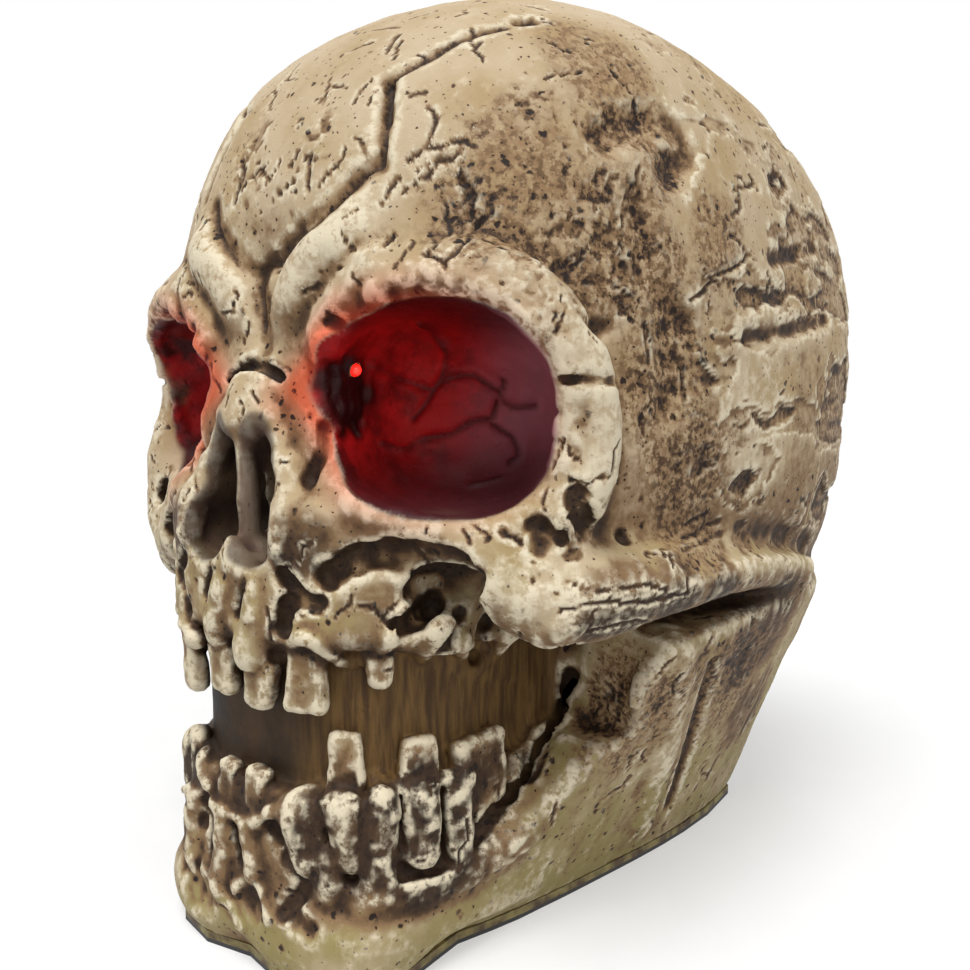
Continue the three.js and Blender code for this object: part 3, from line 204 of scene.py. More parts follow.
# Strokes on the photographed side: pixels they pass, radius, height over the surface and blend
SCULPT = {
    "gum_rim_right": Stroke(((186, 625), (190, 631), (196, 638)), 3.4, 3.0, 2),
    "gum_rim_front": Stroke(((195, 640), (205, 640), (214, 640), (231, 637)), 3.6, 3.6, 2),
    "gum_rim_left": Stroke(
        ((231, 637), (243, 652), (261, 661), (273, 664), (288, 649), (300, 638), (313, 640), (330, 652)),
        3.4, 3.6, 2,
    ),
    "gum_rim_back": Stroke(((330, 652), (345, 661), (366, 655), (390, 640), (399, 619)), 3.4, 3.4, 2),
    "gum_rim_plate": Stroke(((399, 619), (406, 612), (412, 606)), 3.4, 2.4, 2),
    "lower_rim_far": Stroke(((184, 789), (200, 791), (209, 785)), 3.0, 2.2, 2),
    "lower_rim_front": Stroke(((211, 800), (225, 808), (240, 817), (258, 821), (272, 812)), 3.4, 3.6, 2),
    "lower_rim_mid": Stroke(((272, 812), (285, 806), (300, 795), (314, 790), (328, 788)), 3.2, 2.6, 2),
    "lower_rim_left": Stroke(
        ((342, 792), (357, 784), (375, 780), (400, 790), (430, 784), (450, 778), (468, 776)),
        3.6, 3.6, 2,
    ),
    "chin_edge": Stroke(((186, 874), (212, 875), (221, 891), (234, 906), (241, 924)), 3.0, 1.8, 2),
    "chin_panel_edge": Stroke(((236, 887), (257, 881), (262, 900), (268, 920)), 2.6, 1.4, 2),
    "jaw_ridge": Stroke(
        ((565, 722), (545, 752), (528, 782), (512, 818), (490, 850), (466, 868), (420, 882), (371, 896)),
        9, 3.0, 6,
    ),
    "rib_1": Stroke(((420, 657), (434, 638), (446, 622)), 4.0, 2.6, 2.5),
    "rib_2": Stroke(((463, 655), (467, 640)), 4.0, 2.4, 2.5),
    "rib_3": Stroke(((482, 662), (496, 649), (508, 636)), 5.0, 2.0, 3),
    "brow_fold": Stroke(((371, 262), (349, 283), (331, 308), (322, 342)), 8, 3, 4),
    "brow_groove": Stroke(
        ((264, 350), (263, 310), (260, 276), (277, 261), (301, 233), (325, 213), (350, 187), (380, 164)),
        4.0, -2.0, 4,
    ),
    "brow_groove_right": Stroke(((259, 275), (238, 262), (217, 231), (214, 206)), 3.6, -1.8, 4),
    "fissure": Stroke(((380, 164), (384, 128), (387, 96), (388, 78)), 3.0, -3.0, 3),
    "fissure_branch": Stroke(((388, 78), (422, 60), (449, 45), (471, 36), (507, 27)), 2.2, -1.2, 2.5),
    "crown_hole": Stroke(((520, 22), (532, 21)), 3.4, -3, 2.5),
    "rim_ridge": Stroke(
        (
            (388, 277), (428, 275), (450, 283), (487, 296), (520, 312),
            (546, 334), (566, 368), (570, 414), (557, 468),
        ),
        5.0, 2.4, 3,
    ),
    "rim_ledge": Stroke(((566, 379), (604, 381), (642, 382)), 1.6, -1.1, 2),
    "rim_hollow": Stroke(((590, 322), (600, 330)), 5.0, -1.8, 3),
    "post_groove": Stroke(((578, 496), (582, 514), (590, 530)), 4.2, -4.6, 3),
    "nose_fossa": Stroke(((326, 428), (322, 448), (311, 478)), 3.2, -3.6, 3),
    "rim_notch": Stroke(((332, 322), (338, 325)), 3.0, -1.2, 2.5),
    "temple_bay": Stroke(((602, 136), (634, 126), (666, 124), (684, 148), (672, 170)), 8.0, -3.0, 6),
    "temple_scar": Stroke(((640, 196), (645, 255), (660, 288), (686, 327)), 8.0, -2.6, 5),
    "temple_square": Stroke(((668, 340), (672, 372), (670, 406)), 11.0, -2.4, 4),
    "side_ledge": Stroke(((748, 338), (786, 332), (827, 320)), 3.4, -2.4, 3),
    "side_ledge_high": Stroke(((772, 258), (796, 254), (816, 248)), 2.8, -2.0, 3),
    "arch_groove": Stroke(((690, 562), (730, 550), (772, 538), (806, 544)), 6.0, -2.0, 6),
    "rim_bead": Stroke(((373, 293), (378, 293)), 6.0, 4.0, 2),
    "rim_lower_fold": Stroke(((330, 480), (352, 500), (392, 516), (430, 522)), 5, 2.0, 4),
    "nose_side": Stroke(((268, 412), (282, 450), (286, 500), (276, 545)), 5, 2.0, 4),
    "nose_floor": Stroke(((236, 556), (252, 562), (268, 552)), 5, 2.4, 4),
    "ramus_pillar": Stroke(((682, 668), (674, 720), (658, 775), (640, 828)), 12, 2.6, 5),
    "ramus_edge": Stroke(((712, 664), (702, 700), (690, 745), (670, 805)), 3.4, -2.6, 3),
    "cheek_knob": Stroke(((545, 640), (560, 634)), 7, 2.0, 5),
    "gum_slot_1": Stroke(((209, 572), (206, 594)), 2.6, -4, 2.5),
    "gum_slot_2": Stroke(((248, 592), (240, 616)), 4.2, -6, 3),
    "gum_hole_1": Stroke(((280, 576), (293, 590)), 3.4, -6, 2.5),
    "gum_hole_2": Stroke(((285, 604), (279, 628)), 4.2, -7, 2.5),
    "gum_hole_3": Stroke(((296, 600), (318, 604)), 3.2, -4.5, 2.5),
    "cheek_groove": Stroke(
        ((328, 578), (346, 567), (366, 558), (392, 557), (420, 562), (450, 572), (470, 582)),
        5.5, -8, 3,
    ),
    "cheek_dark": Stroke(((392, 556), (420, 560), (448, 568)), 6.5, -9, 3),
    "mouth_end": Stroke(
        ((562, 648), (567, 680), (561, 712), (548, 738), (530, 768), (510, 797)),
        5.0, -8, 2,
    ),
    "molar_hole": Stroke(((455, 757), (466, 765)), 3.6, -5, 2),
    "rib_hole": Stroke(((404, 624), (420, 612), (434, 602)), 5.4, -7, 3),
    "rib_gap_1": Stroke(((446, 652), (456, 628), (464, 612)), 3.0, -4.5, 2.5),
    "rib_gap_2": Stroke(((476, 658), (482, 640), (488, 622)), 3.0, -4.5, 2.5),
    "root_gap_1": Stroke(((212, 812), (214, 850)), 3.2, -5, 3),
    "root_gap_2": Stroke(((239, 827), (243, 860)), 3.0, -5, 3),
    "root_hole": Stroke(((273, 830), (276, 836)), 4.4, -5, 3),
    "jaw_split": Stroke(((332, 792), (330, 831), (339, 856), (348, 876), (366, 872)), 3.6, -5.5, 3),
    "chin_split": Stroke(((287, 859), (306, 878), (300, 896), (282, 914)), 2.8, -3.4, 3),
    "root_slot_0": Stroke(((366, 802), (364, 840), (366, 872)), 2.4, -4.0, 2.5),
    "root_slot_1": Stroke(((402, 796), (403, 848)), 2.4, -4.0, 2.5),
    "root_slot_2": Stroke(((441, 792), (443, 820), (446, 852)), 4.0, -7.0, 2),
    "root_slot_3": Stroke(((477, 788), (474, 812), (468, 836)), 3.4, -6.0, 2),
    "jaw_trough": Stroke(((505, 792), (487, 822), (466, 848), (440, 864), (400, 872)), 3.8, -4.5, 3),
    "chin_hollow": Stroke(((190, 888), (202, 894)), 9, -4, 4),
    "chin_panel": Stroke(((250, 898), (254, 908)), 6, -3, 3),
    "chin_chip": Stroke(((297, 922), (306, 930)), 4, -3, 2.5),
    "pit_big": Stroke(((541, 531), (543, 541)), 5.0, -5, 2.5),
    "pit_3": Stroke(((622, 537), (624, 539)), 2.8, -3, 2),
    "pit_4": Stroke(((562, 538), (563, 542)), 1.8, -3, 1),
}

# Cracks on the photographed side: pixels they pass, width and depth
CRACKS = {
    "rim_1": Crack(((449, 274), (447, 262), (459, 250), (478, 225), (493, 211)), 1.3, 2.0),
    "rim_2": Crack(((425, 254), (444, 262)), 1.2, 1.6),
    "rim_3": Crack(((374, 257), (395, 235)), 1.1, 1.6),
    "rim_4": Crack(((340, 269), (371, 267)), 1.1, 1.4),
    "brow_line": Crack(
        ((262, 330), (260, 276), (277, 261), (301, 233), (325, 213), (350, 187), (380, 164)),
        1.2, 1.6, 2.0,
    ),
    "brow_line_right": Crack(((259, 275), (238, 262), (217, 231), (214, 206)), 1.1, 1.4, 1.8),
    "fissure_line": Crack(((380, 164), (384, 128), (387, 96), (388, 78)), 1.5, 2.4, 3.0),
    "branch_line": Crack(((388, 78), (422, 60), (449, 45), (471, 36), (507, 27)), 1.1, 1.4, 1.2),
    "front_1": Crack(((430, 109), (434, 122), (427, 143)), 1.1, 1.6),
    "front_2": Crack(((408, 160), (422, 150)), 1.1, 1.6),
    "front_3": Crack(((418, 170), (441, 158), (447, 162), (461, 150)), 1.1, 1.6),
    "front_4": Crack(((398, 179), (388, 194), (381, 206)), 1.0, 1.4),
    "front_5": Crack(((459, 179), (471, 194), (471, 216)), 1.8, 2.2),
    "panel_1": Crack(((311, 155), (308, 189)), 1.2, 1.8),
    "panel_2": Crack(((299, 150), (291, 167)), 1.0, 1.5),
    "panel_3": Crack(((243, 160), (242, 191)), 1.0, 1.5),
    "panel_4": Crack(((260, 170), (270, 179), (281, 162)), 1.0, 1.5),
    "panel_5": Crack(((284, 189), (272, 199)), 1.0, 1.5),
    "top_1": Crack(((386, 51), (398, 34)), 1.0, 1.4),
    "top_2": Crack(((347, 51), (372, 42)), 0.9, 1.2),
    "bridge": Crack(((240, 362), (258, 366), (272, 360), (290, 370)), 0.9, 1.0),
    "suture": Crack(
        (
            (755, 183), (731, 193), (741, 207), (724, 224), (744, 246),
            (744, 262), (716, 276), (703, 293), (690, 300),
        ),
        1.1, 1.4,
    ),
    "post": Crack(((570, 480), (590, 484), (606, 476), (618, 482)), 1.1, 1.6),
    "cheek_1": Crack(((503, 532), (522, 545)), 1.6, 2.0),
    "draft_1": Crack(((686, 560), (706, 553), (727, 545)), 1.3, 1.4),
    "draft_2": Crack(((684, 549), (704, 541), (724, 533)), 1.3, 1.4),
    "draft_3": Crack(((682, 538), (702, 529), (720, 521)), 1.2, 1.2),
    "draft_4": Crack(((684, 526), (698, 518), (708, 511)), 1.2, 1.2),
    "arch_1": Crack(((600, 592), (640, 585), (668, 590)), 1.0, 1.2),
    "arch_2": Crack(((620, 606), (660, 598), (690, 592)), 1.0, 1.2),
    "arch_3": Crack(((560, 612), (590, 604), (622, 602)), 1.0, 1.2),
    "arch_line": Crack(((560, 640), (640, 622), (700, 608), (760, 592)), 1.0, 1.4),
}

# Creases of the lining of the left socket, mirrored into the right one
CREASES = {
    "crease_1": Crack(((418, 323), (445, 352), (439, 382), (412, 419)), 1.3, 1.6),
    "crease_2": Crack(((370, 366), (407, 382), (434, 390)), 1.4, 1.6),
    "crease_3": Crack(((439, 384), (453, 377), (474, 374), (498, 390), (503, 379)), 1.3, 1.8),
    "crease_4": Crack(((498, 390), (509, 406), (536, 406)), 1.2, 1.6),
    "crease_5": Crack(((498, 401), (493, 419), (471, 422), (450, 435), (431, 438)), 1.5, 2.0),
    "crease_6": Crack(((493, 425), (512, 438), (518, 457), (509, 462)), 1.2, 1.6),
    "crease_7": Crack(((380, 443), (404, 449), (426, 438)), 1.0, 1.0),
    "crease_8": Crack(((471, 484), (498, 476)), 1.0, 1.2),
}

# Stained and pitted patches: pixel of the middle and radius in millimetres
PITTED = {
    "pits_temple": Zone((545, 205), 60),
    "pits_temple_low": Zone((600, 235), 30),
    "pits_front": Zone((285, 150), 34),
    "pits_cheek": Zone((560, 545), 22),
    "pits_jaw": Zone((600, 720), 30),
    "behind_jaw": Zone((728, 672), 20),
}
STAINED = {
    "stain_temple": Zone((555, 205), 56),
    "stain_bay": Zone((640, 150), 30),
    "stain_band_top": Zone((645, 260), 30),
    "stain_band_mid": Zone((668, 370), 30),
    "stain_band_low": Zone((690, 480), 34),
    "stain_band_foot": Zone((690, 540), 26),
    "stain_suture": Zone((720, 240), 26),
    "stain_crown": Zone((600, 60), 30),
    "stain_jaw": Zone((640, 720), 38),
    "stain_jaw_back": Zone((720, 690), 44),
}

# Patches painted darker, as painted shade under the arch, by the neck and on the far cheek, and as painted
# shade with grime low on the neck and by the roots; and patches where the wash is worn off
SHADE_AND_GRIME = {
    "shade_arch_front": Zone((600, 610), 18),
    "shade_arch_1": Zone((640, 598), 20),
    "shade_arch_2": Zone((682, 590), 20),
    "shade_arch_3": Zone((726, 586), 14),
    "shade_neck": Zone((760, 640), 38),
    "shade_and_grime_neck_low": Zone((745, 710), 30),
    "shade_and_grime_roots": Zone((425, 835), 34),
    "shade_and_grime_roots_front": Zone((340, 845), 26),
    "shade_far_cheek": Zone((176, 525), 18),
}
WORN = {
    "worn_brow": Zone((300, 262), 24),
    "worn_brow_left": Zone((352, 236), 22),
    "worn_brow_right": Zone((226, 268), 18),
    "worn_rim_top": Zone((520, 290), 20),
    "worn_rim_side": Zone((590, 375), 24),
    "worn_rim_low": Zone((604, 440), 22),
    "worn_cheek": Zone((540, 590), 22),
    "worn_side": Zone((760, 420), 40),
    "worn_pillar": Zone((665, 740), 30),
    "worn_jaw": Zone((520, 890), 30),
}

F = np.float32


# Blends and bodies of the form

def soft_min(a, b, k):
    h = np.clip(0.5 + (b - a) * (0.5 / k), 0.0, 1.0)
    return b + (a - b) * h - k * h * (1.0 - h)


def soft_max(a, b, k):
    return -soft_min(-a, -b, k)


def step(low, high, v):
    t = np.clip((v - low) / (high - low), 0.0, 1.0)
    return t * t * (3.0 - 2.0 * t)


def turn(a, b, degrees):
    c = math.cos(math.radians(degrees))
    s = math.sin(math.radians(degrees))
    return c * a + s * b, c * b - s * a


class Egg:
    """A rounded block: middle, half sizes, power, turn about Z and tilt about X."""

    def __init__(self, at, half, power=2.0, yaw=0.0, tilt=0.0):
        self.at = np.array(at, float)
        self.half = half
        self.power = power
        self.yaw = yaw
        self.tilt = tilt
        self.reach = 1.35 * max(half)

    def __call__(self, x, y, z):
        x = x - F(self.at[0])
        y = y - F(self.at[1])
        z = z - F(self.at[2])
        if self.yaw:
            x, y = turn(x, y, self.yaw)
        if self.tilt:
            y, z = turn(y, z, self.tilt)
        q = [np.abs(v) / h for v, h in zip((x, y, z), self.half)]
        p = [v ** F(self.power - 1.0) for v in q]
        total = p[0] * q[0] + p[1] * q[1] + p[2] * q[2] + F(1e-9)
        k = total ** F(1.0 / self.power)
        slope = np.sqrt(sum((a / h) ** 2 for a, h in zip(p, self.half))) * k / total + F(1e-6)
        return (k - 1.0) / slope


class Rope:
    """A chain of tapered rods, rows of x, y, z and radius, with an uneven skin where ragged."""

    def __init__(self, rows, ragged=0.0):
        self.rows = np.array(rows, float)
        self.ragged = ragged
        self.at = self.rows[:, :3].mean(0)
        reach = np.linalg.norm(self.rows[:, :3] - self.at, axis=1) + self.rows[:, 3]
        self.reach = float(reach.max()) + ragged

    def __call__(self, x, y, z):
        best = None
        for a, b in zip(self.rows[:-1], self.rows[1:]):
            d = b - a
            along = (x - F(a[0])) * F(d[0]) + (y - F(a[1])) * F(d[1]) + (z - F(a[2])) * F(d[2])
            t = np.clip(along / F(d[:3] @ d[:3] + 1e-6), 0.0, 1.0)
            ex = x - F(a[0]) - t * F(d[0])
            ey = y - F(a[1]) - t * F(d[1])
            ez = z - F(a[2]) - t * F(d[2])
            e = np.sqrt(ex * ex + ey * ey + ez * ez) - (F(a[3]) + t * F(d[3]))
            best = e if best is None else np.minimum(best, e)
        return roughened(best, x, y, z, self.ragged)


def roughened(d, x, y, z, ragged):
    """The distances made uneven near the surface."""
    near = np.flatnonzero(np.abs(d) < 8) if ragged else ()
    if len(near):
        p = np.column_stack((x[near], y[near], z[near]))
        fade = np.clip(2 - np.abs(d[near]) / 4, 0, 1)
        d[near] += F(ragged) * fade * noise(p, 6.5, 19, 2)
    return d


def rounded(rows, parts=3):
    """The rows with a smooth curve through them."""
    p = np.array(rows, float)
    out = []
    for i in range(len(p) - 1):
        a, b, c, d = p[max(i - 1, 0)], p[i], p[i + 1], p[min(i + 2, len(p) - 1)]
        for j in range(parts):
            t = j / parts
            square = (2 * a - 5 * b + 4 * c - d) * t**2
            out.append(0.5 * (2 * b + (c - a) * t + square + (3 * b - a - 3 * c + d) * t**3))
    out.append(p[-1])
    return np.array(out)


CRANIUM = Egg((0, 32.1, 257.9), (142.0, 190.2, 167.5), 2.58, 0.0, -6.7)
FACE_BLOCK = Egg((0, -78, 205), (118, 72, 84), 2.6)
SOCKET = Egg((80, -133, 241), (43, 50, 40), 2.4, 29)
SOCKET_CORNER = Rope([(50, -160, 252, 17), (29, -166, 250, 5)])
FOREHEAD = Egg((0, -174, 293), (52, 23, 46), 2.2)
UNDER_CHEEK = Egg((102, -108, 158), (28, 36, 26), 2.2, 25)
UNDER_ARCH = Egg((132, -45, 150), (30, 70, 20), 2.2, 4)
CHEEK_HOLLOW = Egg((80, -123, 172), (23, 19, 12), 2.2, 35)
CHIN = Egg((34, -138, 31), (34, 33, 25), 2.4, 12)
NOSE_TOP = Egg((11, -164, 210), (9.5, 32, 28))
NOSE_LOW = Egg((15, -160, 193), (13, 26, 14))


def row_plan(x, y, grow):
    """Distance to the U of the tooth rows, seen from above."""
    hx = ROW_HALF + grow
    hy = ROW_DEPTH + grow
    qx = np.abs(x) / F(hx)
    qy = np.maximum(F(ROW_BACK) - y, 0) / F(hy)
    k = (qx ** F(ROW_POWER) + qy ** F(ROW_POWER) + F(1e-9)) ** F(1 / ROW_POWER)
    return (k - 1) * np.where(y < ROW_BACK, F(0.5 * (hx + hy)), F(hx))


def braincase(x, y, z):
    d = CRANIUM(x, y, z)
    d = soft_max(d, (x - 84 - 0.36 * np.maximum(z, -20)) * 0.93, 20)
    d = soft_max(d, (y - 138 - 0.55 * z) * 0.87, 40)
    return soft_max(d, 0.94 * x + 0.05 * y + 0.27 * (z - 270) - 153, 30)


def lower_body(x, y, z):
    h = np.maximum(z, -20)
    half = np.maximum(64.8 + 0.47 * h + 0.1 * (y + 20), 20)
    reach = np.where(y < -20, 143 + 0.12 * h, F(200))
    k = ((x / half) ** F(2.7) + (np.abs(y + 20) / reach) ** F(2.7) + F(1e-9)) ** F(1 / 2.7)
    d = (k - 1) * np.minimum(half, reach)
    d = soft_max(d, (y - 140 - 0.3 * z) * 0.95, 20)
    d = soft_min(d, CHIN(x, y, z), 12)
    ledge = np.interp(y, LEDGE_Y, LEDGE_Z).astype(F)
    return soft_max(d, (z - ledge) * 0.72, 8)


def row_block(x, y, z, middle, half, back, inset, soft):
    plan = soft_max(row_plan(x, y, -inset), np.abs(z - middle) - half, soft)
    return soft_max(plan, y - back, soft)


def jaw(x, y, z):
    return soft_min(lower_body(x, y, z), row_block(x, y, z, 58, 34, -62, 4, 8), 7)


def upper_jaw(x, y, z):
    return row_block(x, y, z, 178, 30, -50, 0, 10)


def mouth_core(x, y, z):
    return row_block(x, y, z, 118, 60, -30, MOUTH_WALL_IN, 6)


def mouth_gap(x, y, z):
    core = soft_max(row_plan(x, y, -MOUTH_WALL_IN), y + 30, 8)
    slit = soft_max(np.abs(z - 119 - 0.05 * (y + 120)) - 24, -core, 3)
    return soft_max(soft_max(slit, y + 44, 6), x - 112, 6)


def sockets(x, y, z):
    return soft_min(SOCKET(x, y, z), SOCKET_CORNER(x, y, z), 14)


def nose_holes(x, y, z):
    return soft_min(NOSE_TOP(x, y, z), NOSE_LOW(x, y, z), 6)


class Form:
    """Bodies joined and cut in order; mirrored bodies stand on both sides."""

    def __init__(self):
        self.steps = []

    def add(self, mode, soft, shape, mirrored=True):
        at = getattr(shape, "at", np.zeros(3))
        reach = getattr(shape, "reach", math.inf)
        self.steps.append((mode, soft, shape, mirrored, at, reach + soft))
        return self

    def local(self, points, middle, radius):
        """Distances at points that lie within radius of middle."""
        px = np.ascontiguousarray(points[:, 0])
        y = np.ascontiguousarray(points[:, 1])
        z = np.ascontiguousarray(points[:, 2])
        x = np.sqrt(px * px + F(4))
        other = np.array((abs(middle[0]), middle[1], middle[2]))
        d = None
        for mode, soft, shape, mirrored, at, reach in self.steps:
            off = np.linalg.norm((other if mirrored else middle) - at)
            if off > reach + radius + 34:
                continue
            e = shape(x if mirrored else px, y, z)
            if d is None:
                d = e
            elif mode == "join":
                d = soft_min(d, e, soft)
            elif mode == "cut":
                d = soft_max(d, -e, soft)
            elif mode == "plain":
                d = np.minimum(d, e)
            else:
                d = soft_max(d, e, soft)
        return d

    def __call__(self, points, cell=44.0):
        points = np.ascontiguousarray(points, F)
        key = np.floor(points / cell).astype(np.int64)
        code = (key[:, 0] + 64) * 65536 + (key[:, 1] + 64) * 256 + key[:, 2] + 64
        order = np.argsort(code, kind="stable")
        cuts = np.flatnonzero(np.diff(code[order])) + 1
        out = np.empty(len(points), F)
        for group in np.split(order, cuts):
            p = points[group]
            middle = (p.min(0) + p.max(0)) * 0.5
            radius = float(np.linalg.norm(p - middle, axis=1).max())
            out[group] = self.local(p, middle.astype(float), radius)
        return out


def base_form():
    """The skull without its strokes and teeth."""
    form = Form()
    form.add("join", 0, braincase)
    form.add("join", 18, FACE_BLOCK)
    form.add("join", 12, upper_jaw)
    form.add("cut", 12, FOREHEAD)
    form.add("join", 5, Rope(rounded(BROW)))
    form.add("join", 9, Rope(rounded(SOCKET_RIM)))
    form.add("cut", 8, UNDER_CHEEK)
    form.add("cut", 10, UNDER_ARCH)
    form.add("join", 12, Rope(rounded(CHEEK)))
    form.add("join", 8, Rope(FAR_CHEEK), False)
    form.add("cut", 5, CHEEK_HOLLOW)
    form.add("join", 10, jaw)
    form.add("plain", 0, mouth_core)
    form.add("cut", 6, sockets)
    form.add("cut", 5, mouth_gap)
    form.add("cut", 4, Rope(JAW_SLOT))
    form.add("join", 6, Rope(rounded(NOSE_RIM)))
    form.add("cut", 4, nose_holes)
    form.add("join", 8, Rope(NOSE_BONE))
    form.add("join", 4, Rope(NOSE_HALF))
    form.add("cut", 3, Rope(NASION))
    form.add("join", 4, Rope(SEPTUM))
    return form


def hollow_form():
    """The space inside the shells."""
    form = Form()
    form.add("join", 0, lambda x, y, z: soft_min(braincase(x, y, z), lower_body(x, y, z), 10) + F(WALL))
    for hole in (sockets, UNDER_CHEEK, UNDER_ARCH, CHEEK_HOLLOW, FOREHEAD, nose_holes):
        form.add("limit", 5, lambda x, y, z, hole=hole: F(FACE_WALL) - hole(x, y, z))
    form.add("limit", 5, lambda x, y, z: F(FACE_WALL) - mouth_gap(x, y, z))
    slot = Rope(JAW_SLOT)
    form.add("limit", 4, lambda x, y, z: F(FACE_WALL) - slot(x, y, z))
    return form


# Points of the photograph on the form

def pixel_rays(pixels):
    forward = (AIM - EYE) / np.linalg.norm(AIM - EYE)
    right = np.cross(forward, (0, 0, 1))
    right /= np.linalg.norm(right)
    up = np.cross(right, forward)
    p = np.array(pixels, float)
    half = FRAME_PX / 2
    d = forward + (p[:, :1] - half) / FOCAL_PX * right - (p[:, 1:2] - half) / FOCAL_PX * up
    return d / np.linalg.norm(d, axis=1, keepdims=True)


def on_surface(form, pixels):
    """Where the rays of these pixels meet the form, or pass nearest to it, and the normals there."""
    d = pixel_rays(pixels)
    t = np.full(len(d), 270.0)
    best_t = t.copy()
    best = np.full(len(d), 1e9)
    for _ in range(48):
        v = form((EYE + d * t[:, None]).astype(F)).astype(float)
        closer = np.abs(v) < best
        best_t[closer] = t[closer]
        best = np.minimum(best, np.abs(v))
        t = np.minimum(t + np.maximum(v, -2) * 0.8, 760.0)
    p = EYE + d * best_t[:, None]
    return p, slopes(form, p)


def placed(form):
    """Points and normals on the form for every named path and patch of the photograph."""
    named = {name: item.points for book in (SCULPT, CRACKS, CREASES) for name, item in book.items()}
    for book in (PITTED, STAINED, SHADE_AND_GRIME, WORN):
        named.update({name: (zone.at,) for name, zone in book.items()})
    spots, normals = on_surface(form, [p for points in named.values() for p in points])
    ends = np.cumsum([len(points) for points in named.values()])[:-1]
    return dict(zip(named, zip(np.split(spots, ends), np.split(normals, ends))))


def slopes(form, p, e=0.8):
    g = np.empty((len(p), 3))
    for k in range(3):
        o = np.zeros(3)
        o[k] = e
        g[:, k] = form((p + o).astype(F)) - form((p - o).astype(F))
    return g / (np.linalg.norm(g, axis=1, keepdims=True) + 1e-9)


def on_row(pixel, inset):
    """Where the ray of this pixel first meets the U of the tooth rows, or passes nearest to it."""
    d = pixel_rays([pixel])[0]
    t = np.arange(240.0, 700.0, 0.5)
    p = EYE + d * t[:, None]
    plan = row_plan(p[:, 0].astype(F), p[:, 1].astype(F), -inset)
    return p[int(np.argmax(plan < 0))] if (plan < 0).any() else p[int(np.argmin(plan))]


def root_rope(root, ragged):
    a = on_row(root.gum, root.inset + 0.4 * root.gum_r)
    b = on_row(root.end, root.inset + 0.4 * root.end_r)
    return Rope([(*a, root.gum_r), (*b, root.end_r)], ragged)


def peg_ends(row):
    """Both ends of a tooth or root at the skull's right, with their radii."""
    x, y, gum, end, gum_r, end_r, lean = row
    return np.array((x, y, gum), float), np.array((x + lean, y, end), float), gum_r, end_r


class Crown:
    """A tooth: a block with rounded edges that goes from its gum end to its free end."""

    def __init__(self, gum, end, gum_half, end_half, deep, ragged):
        axis = end - gum
        self.half = float(np.linalg.norm(axis)) / 2
        self.axis = axis / (2 * self.half)
        x = np.array((gum[0] - 1, gum[0] + 1, gum[0], gum[0]), F)
        y = np.array((gum[1], gum[1], gum[1] - 1, gum[1] + 1), F)
        plan = row_plan(x, y, 0)
        side = np.cross(self.axis, (plan[1] - plan[0], plan[3] - plan[2], 0))
        self.side = side / np.linalg.norm(side)
        self.out = np.cross(self.side, self.axis)
        self.middle = (gum_half + end_half) / 2
        self.taper = (end_half - gum_half) / (2 * self.half)
        self.deep = deep
        self.ragged = ragged
        self.at = (gum + end) / 2
        self.reach = float(np.hypot(np.hypot(self.half, max(gum_half, end_half)), deep)) + ragged

    def along(self, q, direction):
        return q[0] * F(direction[0]) + q[1] * F(direction[1]) + q[2] * F(direction[2])

    def __call__(self, x, y, z):
        q = (x - F(self.at[0]), y - F(self.at[1]), z - F(self.at[2]))
        t = self.along(q, self.axis)
        edge = F(0.8 * self.deep)
        width = F(self.middle) + F(self.taper) * t
        gaps = (
            np.abs(self.along(q, self.side)) - width + edge,
            np.abs(self.along(q, self.out)) - F(self.deep) + edge,
            np.abs(t) - F(self.half) + edge,
        )
        outer = np.sqrt(sum(np.maximum(gap, 0) ** 2 for gap in gaps))
        d = outer + np.minimum(np.maximum(np.maximum(gaps[0], gaps[1]), gaps[2]), 0) - edge
        return roughened(d, x, y, z, self.ragged)


def full_form(places):
    """The skull with its strokes, roots and teeth."""
    form = base_form()
    for name, s in SCULPT.items():
        p, out = places[name]
        shift = (s.height - s.radius) if s.height > 0 else (s.radius + s.height)
        rows = np.hstack((p + out * shift, np.full((len(p), 1), s.radius)))
        mirrored = bool((p[:, 0] > 14).all())
        rope = Rope(rounded(rows, 2), min(1.6, 0.3 * s.radius))
        form.add("join" if s.height > 0 else "cut", s.soft, rope, mirrored)
    for root in ROOTS.values():
        form.add("join", 3.5, root_rope(root, 1.2), False)
    for row in FAR_ROOTS:
        gum, end, gum_r, end_r = peg_ends(row)
        form.add("join", 3.5, Rope([(*gum, gum_r), (*end, end_r)], 1.2), False)
    for tooth in TEETH.values():
        ends = on_row(tooth.gum, tooth.inset), on_row(tooth.end, tooth.inset)
        form.add("join", 1.4, Crown(*ends, tooth.gum_half, tooth.end_half, tooth.deep, 1.0), False)
    for row in FAR_TEETH:
        form.add("join", 1.4, Crown(*peg_ends(row), 4.5, 1.0), False)
    form.add("limit", 5, lambda x, y, z: F(SINK + SHELL_Z - 3) - z)
    return form


# Surface of a form on a grid

def grid_lines(start, spans):
    out = [start]
    for end, size in spans:
        count = max(1, round((end - out[-1]) / size))
        out.extend(np.linspace(out[-1], end, count + 1)[1:])
    return np.array(out)


def sample(form, xs, ys, zs, block=8, group=4):
    """Values on the grid: exact near the surface, and only the sign elsewhere."""
    shape = (len(xs), len(ys), len(zs))
    values = np.empty(shape, F)
    span = block * group
    for i in range(0, shape[0], span):
        for j in range(0, shape[1], span):
            for k in range(0, shape[2], span):
                cut = (slice(i, i + span), slice(j, j + span), slice(k, k + span))
                gx, gy, gz = xs[cut[0]], ys[cut[1]], zs[cut[2]]
                low = np.array((gx[0], gy[0], gz[0]))
                high = np.array((gx[-1], gy[-1], gz[-1]))
                middle = (low + high) / 2
                radius = float(np.linalg.norm(high - low)) / 2
                there = float(form.local(middle[None].astype(F), middle, 0.0)[0])
                part = values[cut]
                part[...] = FAR_OFF if there > 0 else -FAR_OFF
                if abs(there) > 1.25 * radius + 12:
                    continue
                fill_group(form, part, gx, gy, gz, block, middle, radius)
    return values


